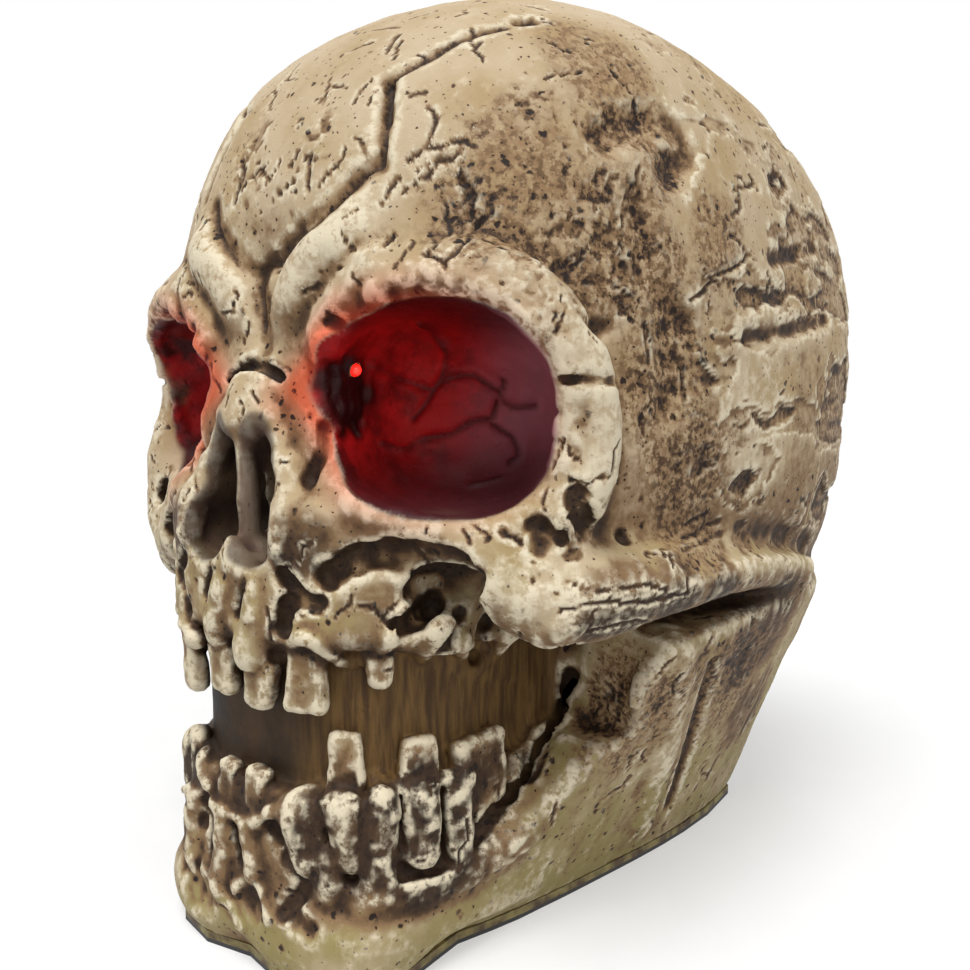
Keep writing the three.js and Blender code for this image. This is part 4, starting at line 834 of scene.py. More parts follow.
def fill_group(form, part, gx, gy, gz, block, middle, radius):
    """Fills one group of blocks: the sign block by block, then exact values near the surface."""
    starts = [
        (a, b, c)
        for a in range(0, len(gx), block)
        for b in range(0, len(gy), block)
        for c in range(0, len(gz), block)
    ]
    ends = [tuple(min(v + block, len(g)) - 1 for v, g in zip(start, (gx, gy, gz))) for start in starts]
    lows = np.array([(gx[a], gy[b], gz[c]) for a, b, c in starts])
    highs = np.array([(gx[a], gy[b], gz[c]) for a, b, c in ends])
    mids = (lows + highs) / 2
    radii = np.linalg.norm(highs - lows, axis=1) / 2
    there = form.local(mids.astype(F), middle, radius)
    near = np.zeros(part.shape, bool)
    for (a, b, c), (d, e, f), v, r in zip(starts, ends, there, radii):
        box = (slice(a, d + 1), slice(b, e + 1), slice(c, f + 1))
        part[box] = FAR_OFF if v > 0 else -FAR_OFF
        if abs(v) < 1.3 * r + 7:
            near[box] = True
    i, j, k = np.nonzero(near)
    if len(i):
        points = np.column_stack((gx[i], gy[j], gz[k])).astype(F)
        v = form.local(points, middle, radius)
        part[i, j, k] = np.where(v == 0, F(1e-5), v)


def untangle(values):
    """Parts grid faces whose inner corners lie on one diagonal, where an edge would be shared four ways."""
    todo = []
    inner = values < 0
    for p, q in ((0, 1), (1, 2), (2, 0)):
        here = tuple(slice(0, -1) if k in (p, q) else slice(None) for k in range(3))
        up = tuple(slice(1, None) if k == p else here[k] for k in range(3))
        over = tuple(slice(1, None) if k == q else here[k] for k in range(3))
        both = tuple(slice(1, None) if k in (p, q) else slice(None) for k in range(3))
        same = (inner[here] == inner[both]) & (inner[up] == inner[over]) & (inner[here] != inner[up])
        todo.append(np.argwhere(same))
    while any(len(t) for t in todo):
        changed = []
        for (p, q), low in zip(((0, 1), (1, 2), (2, 0)), todo):
            if not len(low):
                continue
            corners = np.repeat(low[None], 4, axis=0)
            corners[1:3, :, p] += 1
            corners[2:, :, q] += 1
            v = np.array([values[tuple(c.T)] for c in corners])
            crossed = ((v[0] < 0) == (v[2] < 0)) & ((v[1] < 0) == (v[3] < 0)) & ((v[0] < 0) != (v[1] < 0))
            v[v >= 0] = -1e9
            weaker = corners[v.argmax(0), np.arange(len(low))][crossed]
            values[tuple(weaker.T)] = 0.05
            changed.append(weaker)
        changed = np.unique(np.concatenate(changed), axis=0)
        todo = []
        for p, q in ((0, 1), (1, 2), (2, 0)):
            low = np.repeat(changed[None], 4, axis=0)
            low[1:3, :, p] -= 1
            low[2:, :, q] -= 1
            low = np.unique(low.reshape(-1, 3), axis=0)
            top = np.array(values.shape) - 1
            top[3 - p - q] += 1
            todo.append(low[((low >= 0) & (low < top)).all(1)])


def skin(values, xs, ys, zs):
    """Vertices and quads of the zero surface, one vertex in each grid cell that it passes."""
    untangle(values)
    inner = values < 0
    ny, nz = values.shape[1:]
    axes = (xs, ys, zs)
    sums, cells, quads = [], [], []
    for axis in range(3):
        lead = [slice(None)] * 3
        trail = [slice(None)] * 3
        lead[axis] = slice(0, -1)
        trail[axis] = slice(1, None)
        hit = inner[tuple(lead)] != inner[tuple(trail)]
        ijk = np.array(np.nonzero(hit))
        nxt = ijk.copy()
        nxt[axis] += 1
        va = values[tuple(ijk)]
        vb = values[tuple(nxt)]
        t = va / (va - vb)
        at = np.array([axes[n][ijk[n]] for n in range(3)])
        at[axis] += t * (axes[axis][nxt[axis]] - axes[axis][ijk[axis]])
        u, w = (axis + 1) % 3, (axis + 2) % 3
        around = []
        for du, dw in ((-1, -1), (0, -1), (0, 0), (-1, 0)):
            c = ijk.copy()
            c[u] += du
            c[w] += dw
            around.append((c[0] * ny + c[1]) * nz + c[2])
        around = np.array(around)
        flip = va > 0
        around[:, flip] = around[::-1, flip]
        quads.append(around.T)
        cells.append(around.T.ravel())
        sums.append(np.repeat(at.T, 4, axis=0))
    cells = np.concatenate(cells)
    sums = np.concatenate(sums)
    inverse = np.unique(cells, return_inverse=True)[1]
    count = np.bincount(inverse)
    points = np.column_stack([np.bincount(inverse, sums[:, n]) / count for n in range(3)])
    faces = inverse.reshape(-1, 4)
    return largest(points, faces)


def largest(points, faces):
    """The largest connected piece."""
    label = np.arange(len(points))
    edges = np.concatenate([faces[:, [k, (k + 1) % 4]] for k in range(4)])
    while True:
        low = np.minimum(label[edges[:, 0]], label[edges[:, 1]])
        new = label.copy()
        np.minimum.at(new, label[edges[:, 0]], low)
        np.minimum.at(new, label[edges[:, 1]], low)
        new = new[new]
        new = new[new]
        if (new == label).all():
            break
        label = new
    main = np.bincount(label).argmax()
    keep = label[faces[:, 0]] == main
    used, inverse = np.unique(faces[keep], return_inverse=True)
    return points[used], inverse.reshape(-1, 4)


def face_normals(points, faces):
    a = points[faces[:, 2]] - points[faces[:, 0]]
    b = points[faces[:, 3]] - points[faces[:, 1]]
    return np.cross(a, b)


def vertex_normals(points, faces):
    n = face_normals(points, faces)
    out = np.zeros_like(points)
    for k in range(3):
        w = np.repeat(n[:, k], 4)
        out[:, k] = np.bincount(faces.ravel(), w, len(points))
    return out / (np.linalg.norm(out, axis=1, keepdims=True) + 1e-12)


def averaged(values, faces, rounds=1):
    """Each vertex's value averaged over the faces round it."""
    flat = faces.ravel()
    count = np.bincount(flat, minlength=len(values)).astype(float)
    out = values.astype(float)
    for _ in range(rounds):
        mean = out[faces].mean(1)
        if out.ndim == 1:
            out = np.bincount(flat, np.repeat(mean, 4), len(values)) / count
        else:
            sums = [np.bincount(flat, np.repeat(column, 4), len(values)) for column in mean.T]
            out = np.column_stack([total / count for total in sums])
    return out


# Noise in space

def scatter(ix, iy, iz, seed):
    """A number from 0 to 1 for each lattice point."""
    with np.errstate(over="ignore"):
        h = ix.astype(np.uint32) * np.uint32(374761393)
        h = h + iy.astype(np.uint32) * np.uint32(668265263)
        h = h + iz.astype(np.uint32) * np.uint32(2246822519)
        h = h + np.uint32(seed * 3266489917 % 4294967296)
        h = (h ^ (h >> np.uint32(15))) * np.uint32(2246822519)
        h = (h ^ (h >> np.uint32(13))) * np.uint32(3266489917)
        h = h ^ (h >> np.uint32(16))
    return h.astype(F) / F(4294967295.0)


def noise(points, size, seed, octaves=1):
    """Smooth noise from -1 to 1; size is one wave in millimetres, or one per axis."""
    total = np.zeros(len(points), F)
    gain, norm = 1.0, 0.0
    p = points / np.array(size)
    for o in range(octaves):
        base = np.floor(p)
        t = (p - base).astype(F)
        t = t * t * t * (t * (t * 6 - 15) + 10)
        i = base.astype(np.int64)
        value = np.zeros(len(points), F)
        for a in (0, 1):
            for b in (0, 1):
                for c in (0, 1):
                    w = (t[:, 0] if a else 1 - t[:, 0]) * (t[:, 1] if b else 1 - t[:, 1])
                    w = w * (t[:, 2] if c else 1 - t[:, 2])
                    value += w * scatter(i[:, 0] + a, i[:, 1] + b, i[:, 2] + c, seed + o)
        total += F(gain) * (value * 2 - 1)
        norm += gain
        gain *= 0.5
        p = p * 2.03 + 17.1
    return total / F(norm)


def nearest_dots(points, size, seed):
    """Distance to the nearest of scattered dots, and that dot's own number."""
    p = points / np.array(size)
    base = np.floor(p).astype(np.int64)
    first = np.full(len(p), 9.0, F)
    own = np.zeros(len(p), F)
    for a in (-1, 0, 1):
        for b in (-1, 0, 1):
            for c in (-1, 0, 1):
                i = base + (a, b, c)
                spots = [i[:, k] + scatter(*i.T, seed + 7 * k) for k in range(3)]
                off = [spots[k] - p[:, k] for k in range(3)]
                d = np.sqrt(off[0] ** 2 + off[1] ** 2 + off[2] ** 2).astype(F)
                nearer = d < first
                own = np.where(nearer, scatter(*i.T, seed + 31), own)
                first = np.where(nearer, d, first)
    return first, own


def path_distance(points, ranked, path, reach):
    """The points within reach of a path and their distances from it; ranked is the points' order in z."""
    low = path.min(0) - reach
    high = path.max(0) + reach
    level = ranked[slice(*np.searchsorted(points[:, 2], (low[2], high[2]), sorter=ranked))]
    near = level[((points[level] > low) & (points[level] < high)).all(1)]
    best = np.full(len(near), reach, float)
    p = points[near]
    for a, b in zip(path[:-1], path[1:]):
        d = b - a
        t = np.clip((p - a) @ d / (d @ d + 1e-9), 0, 1)
        best = np.minimum(best, np.linalg.norm(p - a - t[:, None] * d, axis=1))
    return near, best


def drawn_paths(spots):
    """The ragged path through these spots, and its mirror image where it lies on the skull's left."""
    path = rounded(spots, 5)
    shake = 1.2 * np.column_stack([noise(path, 7, s, 2) for s in (51, 53, 57)])
    shake[0] = shake[-1] = 0
    path = path + shake
    return [path, path * (-1, 1, 1)] if (path[:, 0] > 16).all() else [path]


def dashes(points, normals, weight, count):
    """Short cracks scattered over the open bone, with their widths and depths."""
    pick = np.random.default_rng(11)
    places = pick.choice(len(points), count, p=weight / weight.sum())
    out = []
    for i in places:
        across = np.cross(normals[i], pick.normal(size=3) + (0, 0, 1.2))
        along = np.cross(normals[i], across)
        along /= np.linalg.norm(along) + 1e-9
        length = pick.uniform(2, 9)
        bend = across / (np.linalg.norm(across) + 1e-9) * pick.uniform(-2.5, 2.5)
        reach = along * length
        path = points[i] + np.array([-reach, -reach * 0.3 + bend, reach * 0.5, reach])
        out.append((rounded(path, 3), pick.uniform(0.7, 1.2), pick.uniform(0.5, 1.2)))
    return out


def zone_weight(points, places, zones):
    """How far each point lies inside the patches, from 0 to 1, on both sides."""
    out = np.zeros(len(points))
    flipped = points * (-1, 1, 1)
    ragged = 0.28 * noise(points, 26, 91, 3)
    for name, z in zones.items():
        for p in (points, flipped):
            d = np.linalg.norm(p - places[name][0], axis=1) / z.radius
            out = np.maximum(out, 1 - step(0.55, 1.05, d + ragged))
    return out


# Dressing of the surface

def surveyed(points, faces, form):
    """The surface with its normals, how sunk each point is, and the areas that it lies in, from 0 to 1."""
    s = SimpleNamespace(p=points, faces=faces, n=vertex_normals(points, faces))
    s.x = np.abs(points[:, 0])
    s.y, s.z = points[:, 1], points[:, 2]
    at = [v.astype(F) for v in (s.x, s.y, s.z)]
    s.socket_at = sockets(*at)
    s.row_at = row_plan(at[0], at[1], 0)
    s.in_row = step(-36, -46, s.y)
    s.socket = (1 - step(0.4, 1.8, s.socket_at)) * step(194, 202, s.z) * step(23, 27, s.x)
    s.mouth = step(-6.5, -10.5, s.row_at) * step(66, 82, s.z) * step(156, 146, s.z) * s.in_row
    s.nose = 1 - step(0.4, 3.0, nose_holes(*at))
    s.calm = np.maximum(np.maximum(s.socket, s.mouth), s.nose)
    jaws = step(168, 150, s.z) * step(-30, -60, s.y)
    s.side = step(-75, -20, s.y) * (1 - step(0.55, 0.85, np.abs(s.n[:, 2]))) * step(150, 190, s.z)
    s.ramus = step(178, 150, s.z) * step(-95, -60, s.y)
    s.open_bone = (1 - s.calm) * (1 - 0.7 * jaws)
    s.at_left = np.column_stack((s.x, s.y, s.z))
    s.led = np.linalg.norm(s.at_left - LED_AT, axis=1)
    s.ranked = np.argsort(s.z)
    recess = np.zeros(len(points))
    for d, w in ((3.0, 0.35), (9.0, 0.4), (22.0, 0.25)):
        v = form((points + s.n * d).astype(F))
        recess += w * np.clip((d - v) / d, 0, 1)
    s.recess = averaged(recess, faces, 1)
    return s


def weathered(s, places, sizes):
    """Heights of the lumps, ledges and pits; notes where the bone is torn, streaked, pitted and eaten."""
    warp = np.column_stack([noise(s.p, 15, seed, 2) for seed in (41, 43, 47)])
    lump = 1.1 * noise(s.p, 42, 1, 2) + 0.5 * noise(s.p, 13, 5, 2)
    rise = (1 - 0.7 * s.calm) * (sizes.lump / MM * lump + 0.16 * noise(s.p, 3.6, 9, 2))

    ledge = sizes.ledge / MM
    terrace = noise(s.p + 7.0 * warp, (52, 52, 21), 3, 3)
    shelf = step(-0.30, -0.22, terrace) + step(-0.02, 0.05, terrace) - 1.4
    drawn = noise(s.p, (60, 26, 4.5), 81, 2)
    rise += 0.3 * s.ramus * (1 - s.calm) * noise(s.p, (5, 5, 34), 83, 2)
    s.torn = step(-0.06, -0.2, terrace) * s.side
    s.streak = step(0.1, 0.5, -drawn) * s.torn
    rise += ledge * (s.side * np.clip(shelf, -1.4, 0.0) + 0.35 * s.torn * np.clip(drawn, -0.6, 0.6))

    depth = sizes.pit / MM
    pitted = zone_weight(s.p, places, PITTED)
    dots, big = nearest_dots(s.p + 1.4 * warp, 7.0, 23)
    rare = step(0.05, 0.5, noise(s.p, 34, 71, 2))
    pit = np.clip(1 - dots / (0.14 + 0.18 * big), 0, 1) * (big > 0.3)
    s.pit = step(0.0, 0.7, pit * np.clip(0.9 * pitted + 0.5 * rare, 0, 1)) * s.open_bone
    rise -= depth * s.pit
    s.eaten = step(0.0, 0.45, noise(s.p + 3.0 * warp, (8, 8, 7), 87, 3)) * pitted * s.open_bone
    rise -= 0.6 * depth * s.eaten
    return rise


def cracked(s, places, sizes, rise):
    """Cuts the drawn cracks and the short scattered ones into the heights, and notes where they run."""
    s.crack = np.zeros(len(s.p))
    paths = []
    for name, c in CRACKS.items():
        spots, out = places[name]
        paths += [(path, c.width, c.depth) for path in drawn_paths(spots - c.sunk * out)]
    paths += dashes(s.p, s.n, s.open_bone * (1 - s.side * 0.4), sizes.dashes)
    for path, width, deep in paths:
        idx, dist = path_distance(s.p, s.ranked, path, 4 * width)
        w = 0.72 * width * (1 + 0.4 * noise(s.p[idx], 5, 59))
        cut = np.exp(-((dist / w) ** 2))
        lip = np.exp(-(((dist - 2.1 * w) / w) ** 2))
        rise[idx] += sizes.crack * deep * (0.06 * lip - cut) * (1 - s.calm[idx])
        s.crack[idx] = np.maximum(s.crack[idx], cut * (1 - s.calm[idx]))


def lined(s, places, rise):
    """Adds the folds and the crumpled patch of the sockets' lining, and keeps the lamps' seats flat."""
    s.fold = np.zeros(len(s.p))
    for name, c in CREASES.items():
        for path in drawn_paths(places[name][0]):
            idx, dist = path_distance(s.p, s.ranked, path, 5 * c.width)
            ridge = np.exp(-((dist / c.width) ** 2))
            s.fold[idx] = np.maximum(s.fold[idx], ridge)
    rise += s.socket * (2.4 * averaged(s.fold, s.faces, 1) + 3.2 * noise(s.p, 24, 33, 3))
    off = np.linalg.norm(s.at_left - LED_AT + (5.0, 4.0, 10.0), axis=1)
    patch = np.exp(-((off / 18.0) ** 2)) * s.socket
    s.crumple = step(0.2, 0.6, patch + 0.18 * noise(s.p, 7, 37, 2))
    rise += 2.6 * s.crumple * step(4.0, 9.0, s.led) * noise(s.p, (4, 4, 6), 35, 2)
    rise *= step(3.0, 7.0, s.led)


def washed(s, places):
    """How thick the wash lies, with painted shade added to it in recesses, under the arch and low on the
    jaws; how pale the edges are and how stained the bone is.
    """
    hollow = ((averaged(s.moved, s.faces, 1) - s.moved) * s.new_n).sum(1)
    wide = averaged(hollow, s.faces, 3)
    cavity = np.clip(hollow * 5.0, -1, 1) * 0.5 + np.clip(wide * 9.0, -1, 1) * 0.6
    soaked = averaged(np.clip(wide * 9.0, 0, 1) + 0.5 * s.crack, s.faces, 8)

    mottled = 0.5 + 0.5 * noise(s.p, 18, 97, 4)
    stain = zone_weight(s.p, places, STAINED) * np.clip(0.35 + 1.1 * mottled, 0, 1)
    stain = np.maximum(stain, 0.6 * s.torn * np.clip(0.4 + mottled, 0, 1))

    # Painted shade: faces turned down at the height of the arch, the teeth, the roots and all that lies low
    # are painted darker, the roots mottled; the ramus also gets streaks of real grime.
    under = step(0.35, -0.45, averaged(s.new_n, s.faces, 3)[:, 2])
    teeth = step(0.5, -2.5, s.row_at) * step(76, 84, s.z) * step(160, 150, s.z) * s.in_row
    roots = step(112, 98, s.z) * step(34, 46, s.z) * step(-60, -90, s.y)
    shade_and_grime = 0.55 * under * step(130, 160, s.z) + 0.25 * teeth
    shade_and_grime = shade_and_grime + roots * (0.1 + 0.5 * mottled) + 0.08 * step(200, 130, s.z)
    shade_and_grime += 0.12 * s.ramus * step(0.0, 0.4, noise(s.p, (9, 9, 60), 89, 3))

    # Darker where the form closes round a point: a real wash in the hollows and painted shade in the broader
    # recesses, less so in one cave at the side of the mouth.
    cave = step(88, 98, s.z) * step(150, 140, s.z) * step(-100, -92, s.y) * step(-34, -44, s.y)
    cave = cave * step(60, 66, s.x)
    sunk = step(0.35, 0.85, s.recess) * (1 - 0.5 * cave)
    worn = zone_weight(s.p, places, WORN)
    wash_and_shade = 0.75 * np.clip(cavity, 0, 1) + 0.85 * sunk + 0.8 * s.crack**1.3
    # Painted shade, with some grime, in the listed patches; lighter where the paint is worn.
    wash_and_shade += 0.5 * zone_weight(s.p, places, SHADE_AND_GRIME) - 0.22 * worn
    wash_and_shade += 0.6 * s.pit + 0.25 * s.eaten + 0.2 * stain + 0.25 * s.streak
    wash_and_shade += 0.6 * soaked + 0.25 * (mottled - 0.5) + shade_and_grime
    pale = np.clip(-cavity * 1.2 + 0.3 * worn, 0, 1) * (1 - 0.8 * s.recess) * (1 - 0.5 * stain)
    return wash_and_shade, pale, stain


def lit(s):
    """Painted light of the lamps: a glow given off by the lining and the bone near it, and an orange-red
    light painted into the colour of the bone round the sockets.
    """
    to_led = (LED_AT * np.where(s.p[:, :1] >= 0, 1, (-1, 1, 1)) - s.p) / (s.led[:, None] + 1e-6)
    facing = np.clip((to_led * s.new_n).sum(1) * 0.75 + 0.25, 0, 1)
    glow = 0.42 * np.exp(-s.led / 14.0) * (0.15 + 0.85 * facing) * (1 - 0.92 * s.crumple)
    glow += 0.2 * np.exp(-((s.led / 42.0) ** 2)) * facing**2 * (1 - 0.8 * s.fold) * (1 - s.crumple)
    rim_lamp_light = (1 - step(1, 19, s.socket_at)) * np.exp(-((s.led / 52.0) ** 2)) * (1 - s.socket) * (1 - s.nose)
    edge = (1 - step(0.5, 7.0, s.socket_at)) * np.exp(-((s.led / 62.0) ** 2)) * (1 - s.nose)
    return glow * np.maximum(s.socket, edge) + 0.16 * edge * (1 - s.socket), 1.4 * rim_lamp_light


def dress(points, faces, form, places, sizes):
    """The surface with its lumps, ledges, pits, cracks and folds, and the values that it is painted by."""
    s = surveyed(points, faces, form)
    rise = weathered(s, places, sizes)
    cracked(s, places, sizes, rise)
    lined(s, places, rise)
    s.moved = s.p + s.n * rise[:, None]
    s.new_n = vertex_normals(s.moved, faces)
    wash_and_shade, pale, stain = washed(s, places)
    glow, rim_lamp_light = lit(s)
    return s.moved, {
        "wash_and_shade": np.clip(wash_and_shade, 0, 1),
        "pale": np.clip(pale, 0, 1),
        "socket": s.socket,
        "mouth": s.mouth,
        "nose": s.nose,
        # Painted shade: the creases of the lining are painted darker.
        "fold": s.fold * s.socket,
        "shade": np.clip(s.crumple + 0.9 * step(238, 208, s.z) + 0.95 * step(258, 284, s.z), 0, 1),
        # Painted light: the lining is painted duller away from the lamp, where less of its light falls.
        "far": step(42, 74, s.led) * step(-5, 5, s.p[:, 0]),
        "glow": np.clip(glow, 0, 1),
        # Painted light of the lamps on the bone round the sockets.
        "rim_lamp_light": np.clip(rim_lamp_light, 0, 1),
        "stain": np.clip(stain, 0, 1),
    }


# Blender meshes

def mesh_object(name, points, faces, values=None):
    mesh = bpy.data.meshes.new(name)
    faces = np.asarray(faces)
    mesh.vertices.add(len(points))
    mesh.vertices.foreach_set("co", (np.asarray(points) * MM).astype(F).ravel())
    mesh.loops.add(faces.size)
    mesh.loops.foreach_set("vertex_index", faces.astype(np.int32).ravel())
    mesh.polygons.add(len(faces))
    mesh.polygons.foreach_set("loop_start", np.arange(0, faces.size, faces.shape[1], dtype=np.int32))
    mesh.update(calc_edges=True)
    mesh.validate()
    for key, v in (values or {}).items():
        mesh.attributes.new(key, "FLOAT", "POINT").data.foreach_set("value", np.asarray(v, F))
    obj = bpy.data.objects.new(name, mesh)
    bpy.context.scene.collection.objects.link(obj)
    return obj


def block_object(name, low, high):
    corner = [(a, b, c) for a in (0, 1) for b in (0, 1) for c in (0, 1)]
    points = [[high[k] if v[k] else low[k] for k in range(3)] for v in corner]
    faces = [(0, 1, 3, 2), (4, 6, 7, 5), (0, 4, 5, 1), (2, 3, 7, 6), (0, 2, 6, 4), (1, 5, 7, 3)]
    return mesh_object(name, points, faces)


def rod_object(name, start, end, radius, sides=24):
    axis = (end - start) / np.linalg.norm(end - start)
    side = np.cross(axis, (0, 0, 1))
    side /= np.linalg.norm(side)
    other = np.cross(axis, side)
    a = np.arange(sides) * 2 * math.pi / sides
    ring = radius * (np.cos(a)[:, None] * side + np.sin(a)[:, None] * other)
    points = np.vstack((start + ring, end + ring, start[None], end[None]))
    i = np.arange(sides)
    j = (i + 1) % sides
    walls = np.vstack(
        (
            np.column_stack((i, j, j + sides)),
            np.column_stack((i, j + sides, i + sides)),
            np.column_stack((j, i, np.full(sides, 2 * sides))),
            np.column_stack((i + sides, j + sides, np.full(sides, 2 * sides + 1))),
        )
    )
    return mesh_object(name, points, walls)


def combine(obj, tools):
    """Cuts obj by other solids, one after another, and applies the cuts to its mesh."""
    for tool, how in tools:
        m = obj.modifiers.new("cut", "BOOLEAN")
        m.object = tool
        m.operation = how
        m.solver = "MANIFOLD"
    graph = bpy.context.evaluated_depsgraph_get()
    made = bpy.data.meshes.new_from_object(obj.evaluated_get(graph))
    obj.modifiers.clear()
    old = obj.data
    obj.data = made
    bpy.data.meshes.remove(old)
    if not len(made.polygons):
        raise RuntimeError(obj.name + " came out empty")
    return obj


def outer_skin(sizes, coarse):
    """The carved surface of the whole skull."""
    fine = sizes.face_step / MM * coarse
    wide = sizes.rear_step / MM * coarse
    places = placed(base_form())
    form = full_form(places)
    front, change, back = GRID_Y
    middle, top = GRID_Z
    xs = grid_lines(-GRID_X, ((GRID_X, fine * 1.06),))
    ys = grid_lines(front, ((change, fine), (back, wide)))
    zs = grid_lines(SINK - 2.0, ((middle, fine), (top, wide * 0.9)))
    points, faces = skin(sample(form, xs, ys, zs), xs, ys, zs)
    points, values = dress(points, faces, form, places, sizes)
    return mesh_object("skull_outer", points - (0, 0, SINK), faces, values)


def inner_skin():
    """The surface of the space inside the shells, closed below."""
    lines = [grid_lines(low, ((high, HOLLOW_STEP),)) for low, high in zip(HOLLOW_LOW, HOLLOW_HIGH)]
    values = sample(hollow_form(), *lines)
    values[:, :, :2] = FLOOR_GAP
    points, faces = skin(values, *lines)
    return mesh_object("skull_inner", points - (0, 0, SINK), faces)


def lamp_bores():
    """Rods that cut the holes of both lamps."""
    bores = []
    for side in (1, -1):
        flip = np.array((side, 1, 1))
        at = LED_AT * flip - (0, 0, SINK)
        axis = LED_AXIS * flip
        bores.append(rod_object("bore", at - axis * BORE_BACK, at + axis * BORE_FRONT, BORE_R))
    return bores


def drop(obj):
    mesh = obj.data
    bpy.data.objects.remove(obj)
    bpy.data.meshes.remove(mesh)


# Materials

def linear(colour):
    return tuple(c / 12.92 if c <= 0.04045 else ((c + 0.055) / 1.055) ** 2.4 for c in colour)


class Graph:
    """A node tree with short calls to fill it."""

    def __init__(self, tree):
        self.tree = tree

    def add(self, kind, **fields):
        node = self.tree.nodes.new(kind)
        for key, value in fields.items():
            setattr(node, key, value)
        return node

    def link(self, a, b):
        self.tree.links.new(a, b)

    def value(self, name):
        node = self.add("ShaderNodeAttribute", attribute_type="GEOMETRY", attribute_name=name)
        return node.outputs["Fac"]

    def feed(self, socket, source):
        if isinstance(source, bpy.types.NodeSocket):
            self.link(source, socket)
        else:
            socket.default_value = source

    def maths(self, how, a, b=0.0, clamp=False):
        node = self.add("ShaderNodeMath", operation=how, use_clamp=clamp)
        self.feed(node.inputs[0], a)
        self.feed(node.inputs[1], b)
        return node.outputs[0]

    def ramp(self, value, low, high, to_low=0.0, to_high=1.0):
        node = self.add("ShaderNodeMapRange", interpolation_type="SMOOTHSTEP")
        self.feed(node.inputs["Value"], value)
        for name, v in (("From Min", low), ("From Max", high), ("To Min", to_low), ("To Max", to_high)):
            node.inputs[name].default_value = v
        return node.outputs["Result"]

    def mix(self, factor, a, b, how="MIX"):
        node = self.add("ShaderNodeMix", data_type="RGBA", blend_type=how)
        node.clamp_factor = True
        self.feed(node.inputs[0], factor)
        self.feed(node.inputs[6], (*a, 1.0) if isinstance(a, tuple) else a)
        self.feed(node.inputs[7], (*b, 1.0) if isinstance(b, tuple) else b)
        return node.outputs[2]

    def noise(self, vector, scale, detail=4.0, rough=0.55):
        node = self.add("ShaderNodeTexNoise")
        self.link(vector, node.inputs["Vector"])
        node.inputs["Scale"].default_value = scale
        node.inputs["Detail"].default_value = detail
        node.inputs["Roughness"].default_value = rough
        return node.outputs["Fac"]

    def stretch(self, vector, scale):
        node = self.add("ShaderNodeMapping")
        self.link(vector, node.inputs["Vector"])
        node.inputs["Scale"].default_value = scale
        return node.outputs["Vector"]

    def place(self):
        return self.add("ShaderNodeTexCoord").outputs["Object"]


def group(name, inputs, outputs):
    """A new shader node group with these sockets, and its graph, inputs and output node."""
    tree = bpy.data.node_groups.new(name, "ShaderNodeTree")
    for label, kind in inputs:
        tree.interface.new_socket(label, in_out="INPUT", socket_type=kind)
    for label, kind in outputs:
        tree.interface.new_socket(label, in_out="OUTPUT", socket_type=kind)
    g = Graph(tree)
    return g, g.add("NodeGroupInput").outputs, g.add("NodeGroupOutput").inputs


def grain_group():
    """Fine grain of a moulded surface: a mask and a height."""
    name = "Moulded grain"
    if name in bpy.data.node_groups:
        return bpy.data.node_groups[name]
    g, given, out = group(
        name,
        [("Vector", "NodeSocketVector"), ("Scale", "NodeSocketFloat")],
        [("Mask", "NodeSocketFloat"), ("Height", "NodeSocketFloat")],
    )
    coarse = g.add("ShaderNodeTexNoise")
    g.link(given["Vector"], coarse.inputs["Vector"])
    g.link(given["Scale"], coarse.inputs["Scale"])
    coarse.inputs["Detail"].default_value = 5
    fine = g.add("ShaderNodeTexVoronoi")
    g.link(given["Vector"], fine.inputs["Vector"])
    g.link(g.maths("MULTIPLY", given["Scale"], 5.0), fine.inputs["Scale"])
    g.link(g.ramp(coarse.outputs["Fac"], 0.32, 0.7), out["Mask"])
    dimple = g.maths("MULTIPLY", fine.outputs["Distance"], 0.4)
    g.link(g.maths("ADD", coarse.outputs["Fac"], dimple), out["Height"])
    return g.tree


def new_material(name):
    m = bpy.data.materials.new(name)
    m.use_nodes = True
    g = Graph(m.node_tree)
    return m, g, m.node_tree.nodes["Principled BSDF"]


def grain(g, scale):
    node = g.add("ShaderNodeGroup")
    node.node_tree = grain_group()
    g.link(g.place(), node.inputs["Vector"])
    node.inputs["Scale"].default_value = scale
    return node.outputs["Mask"], node.outputs["Height"]


def bump(g, shader, height, strength, distance):
    node = g.add("ShaderNodeBump")
    node.inputs["Strength"].default_value = strength
    node.inputs["Distance"].default_value = distance
    g.link(height, node.inputs["Height"])
    g.link(node.outputs["Normal"], shader.inputs["Normal"])


def plain_finish(name, colour, other, rough, metal=0.0, scale=400.0, height=0.00006, coat=0.0):
    """A moulded, wrapped or plated finish with grain in its colour, roughness and height."""
    m, g, s = new_material(name)
    mask, tall = grain(g, scale)
    g.link(g.mix(mask, linear(colour), linear(other)), s.inputs["Base Color"])
    g.link(g.ramp(mask, 0.0, 1.0, rough - 0.08, rough + 0.08), s.inputs["Roughness"])
    s.inputs["Metallic"].default_value = metal
    s.inputs["Coat Weight"].default_value = coat
    bump(g, s, tall, 0.5, height)
    return m


def pits(g, at, scale, where):
    """Small uneven dots in some of the cells, thicker where the other value is high."""
    bent = g.add("ShaderNodeVectorMath", operation="MULTIPLY_ADD")
    wave = g.add("ShaderNodeTexNoise")
    g.link(at, wave.inputs["Vector"])
    wave.inputs["Scale"].default_value = 1.3 * scale
    g.link(wave.outputs["Color"], bent.inputs[0])
    bent.inputs[1].default_value = (0.9 / scale,) * 3
    g.link(at, bent.inputs[2])
    cell = g.add("ShaderNodeTexVoronoi")
    g.link(bent.outputs[0], cell.inputs["Vector"])
    cell.inputs["Scale"].default_value = scale
    own = g.add("ShaderNodeSeparateColor")
    g.link(cell.outputs["Color"], own.inputs[0])
    kept = g.maths("ADD", own.outputs[0], g.ramp(where, 0.3, 0.7, -0.5, 0.2))
    dot = g.ramp(cell.outputs["Distance"], 0.3, 0.12)
    return g.maths("MULTIPLY", dot, g.ramp(kept, 0.5, 0.75))


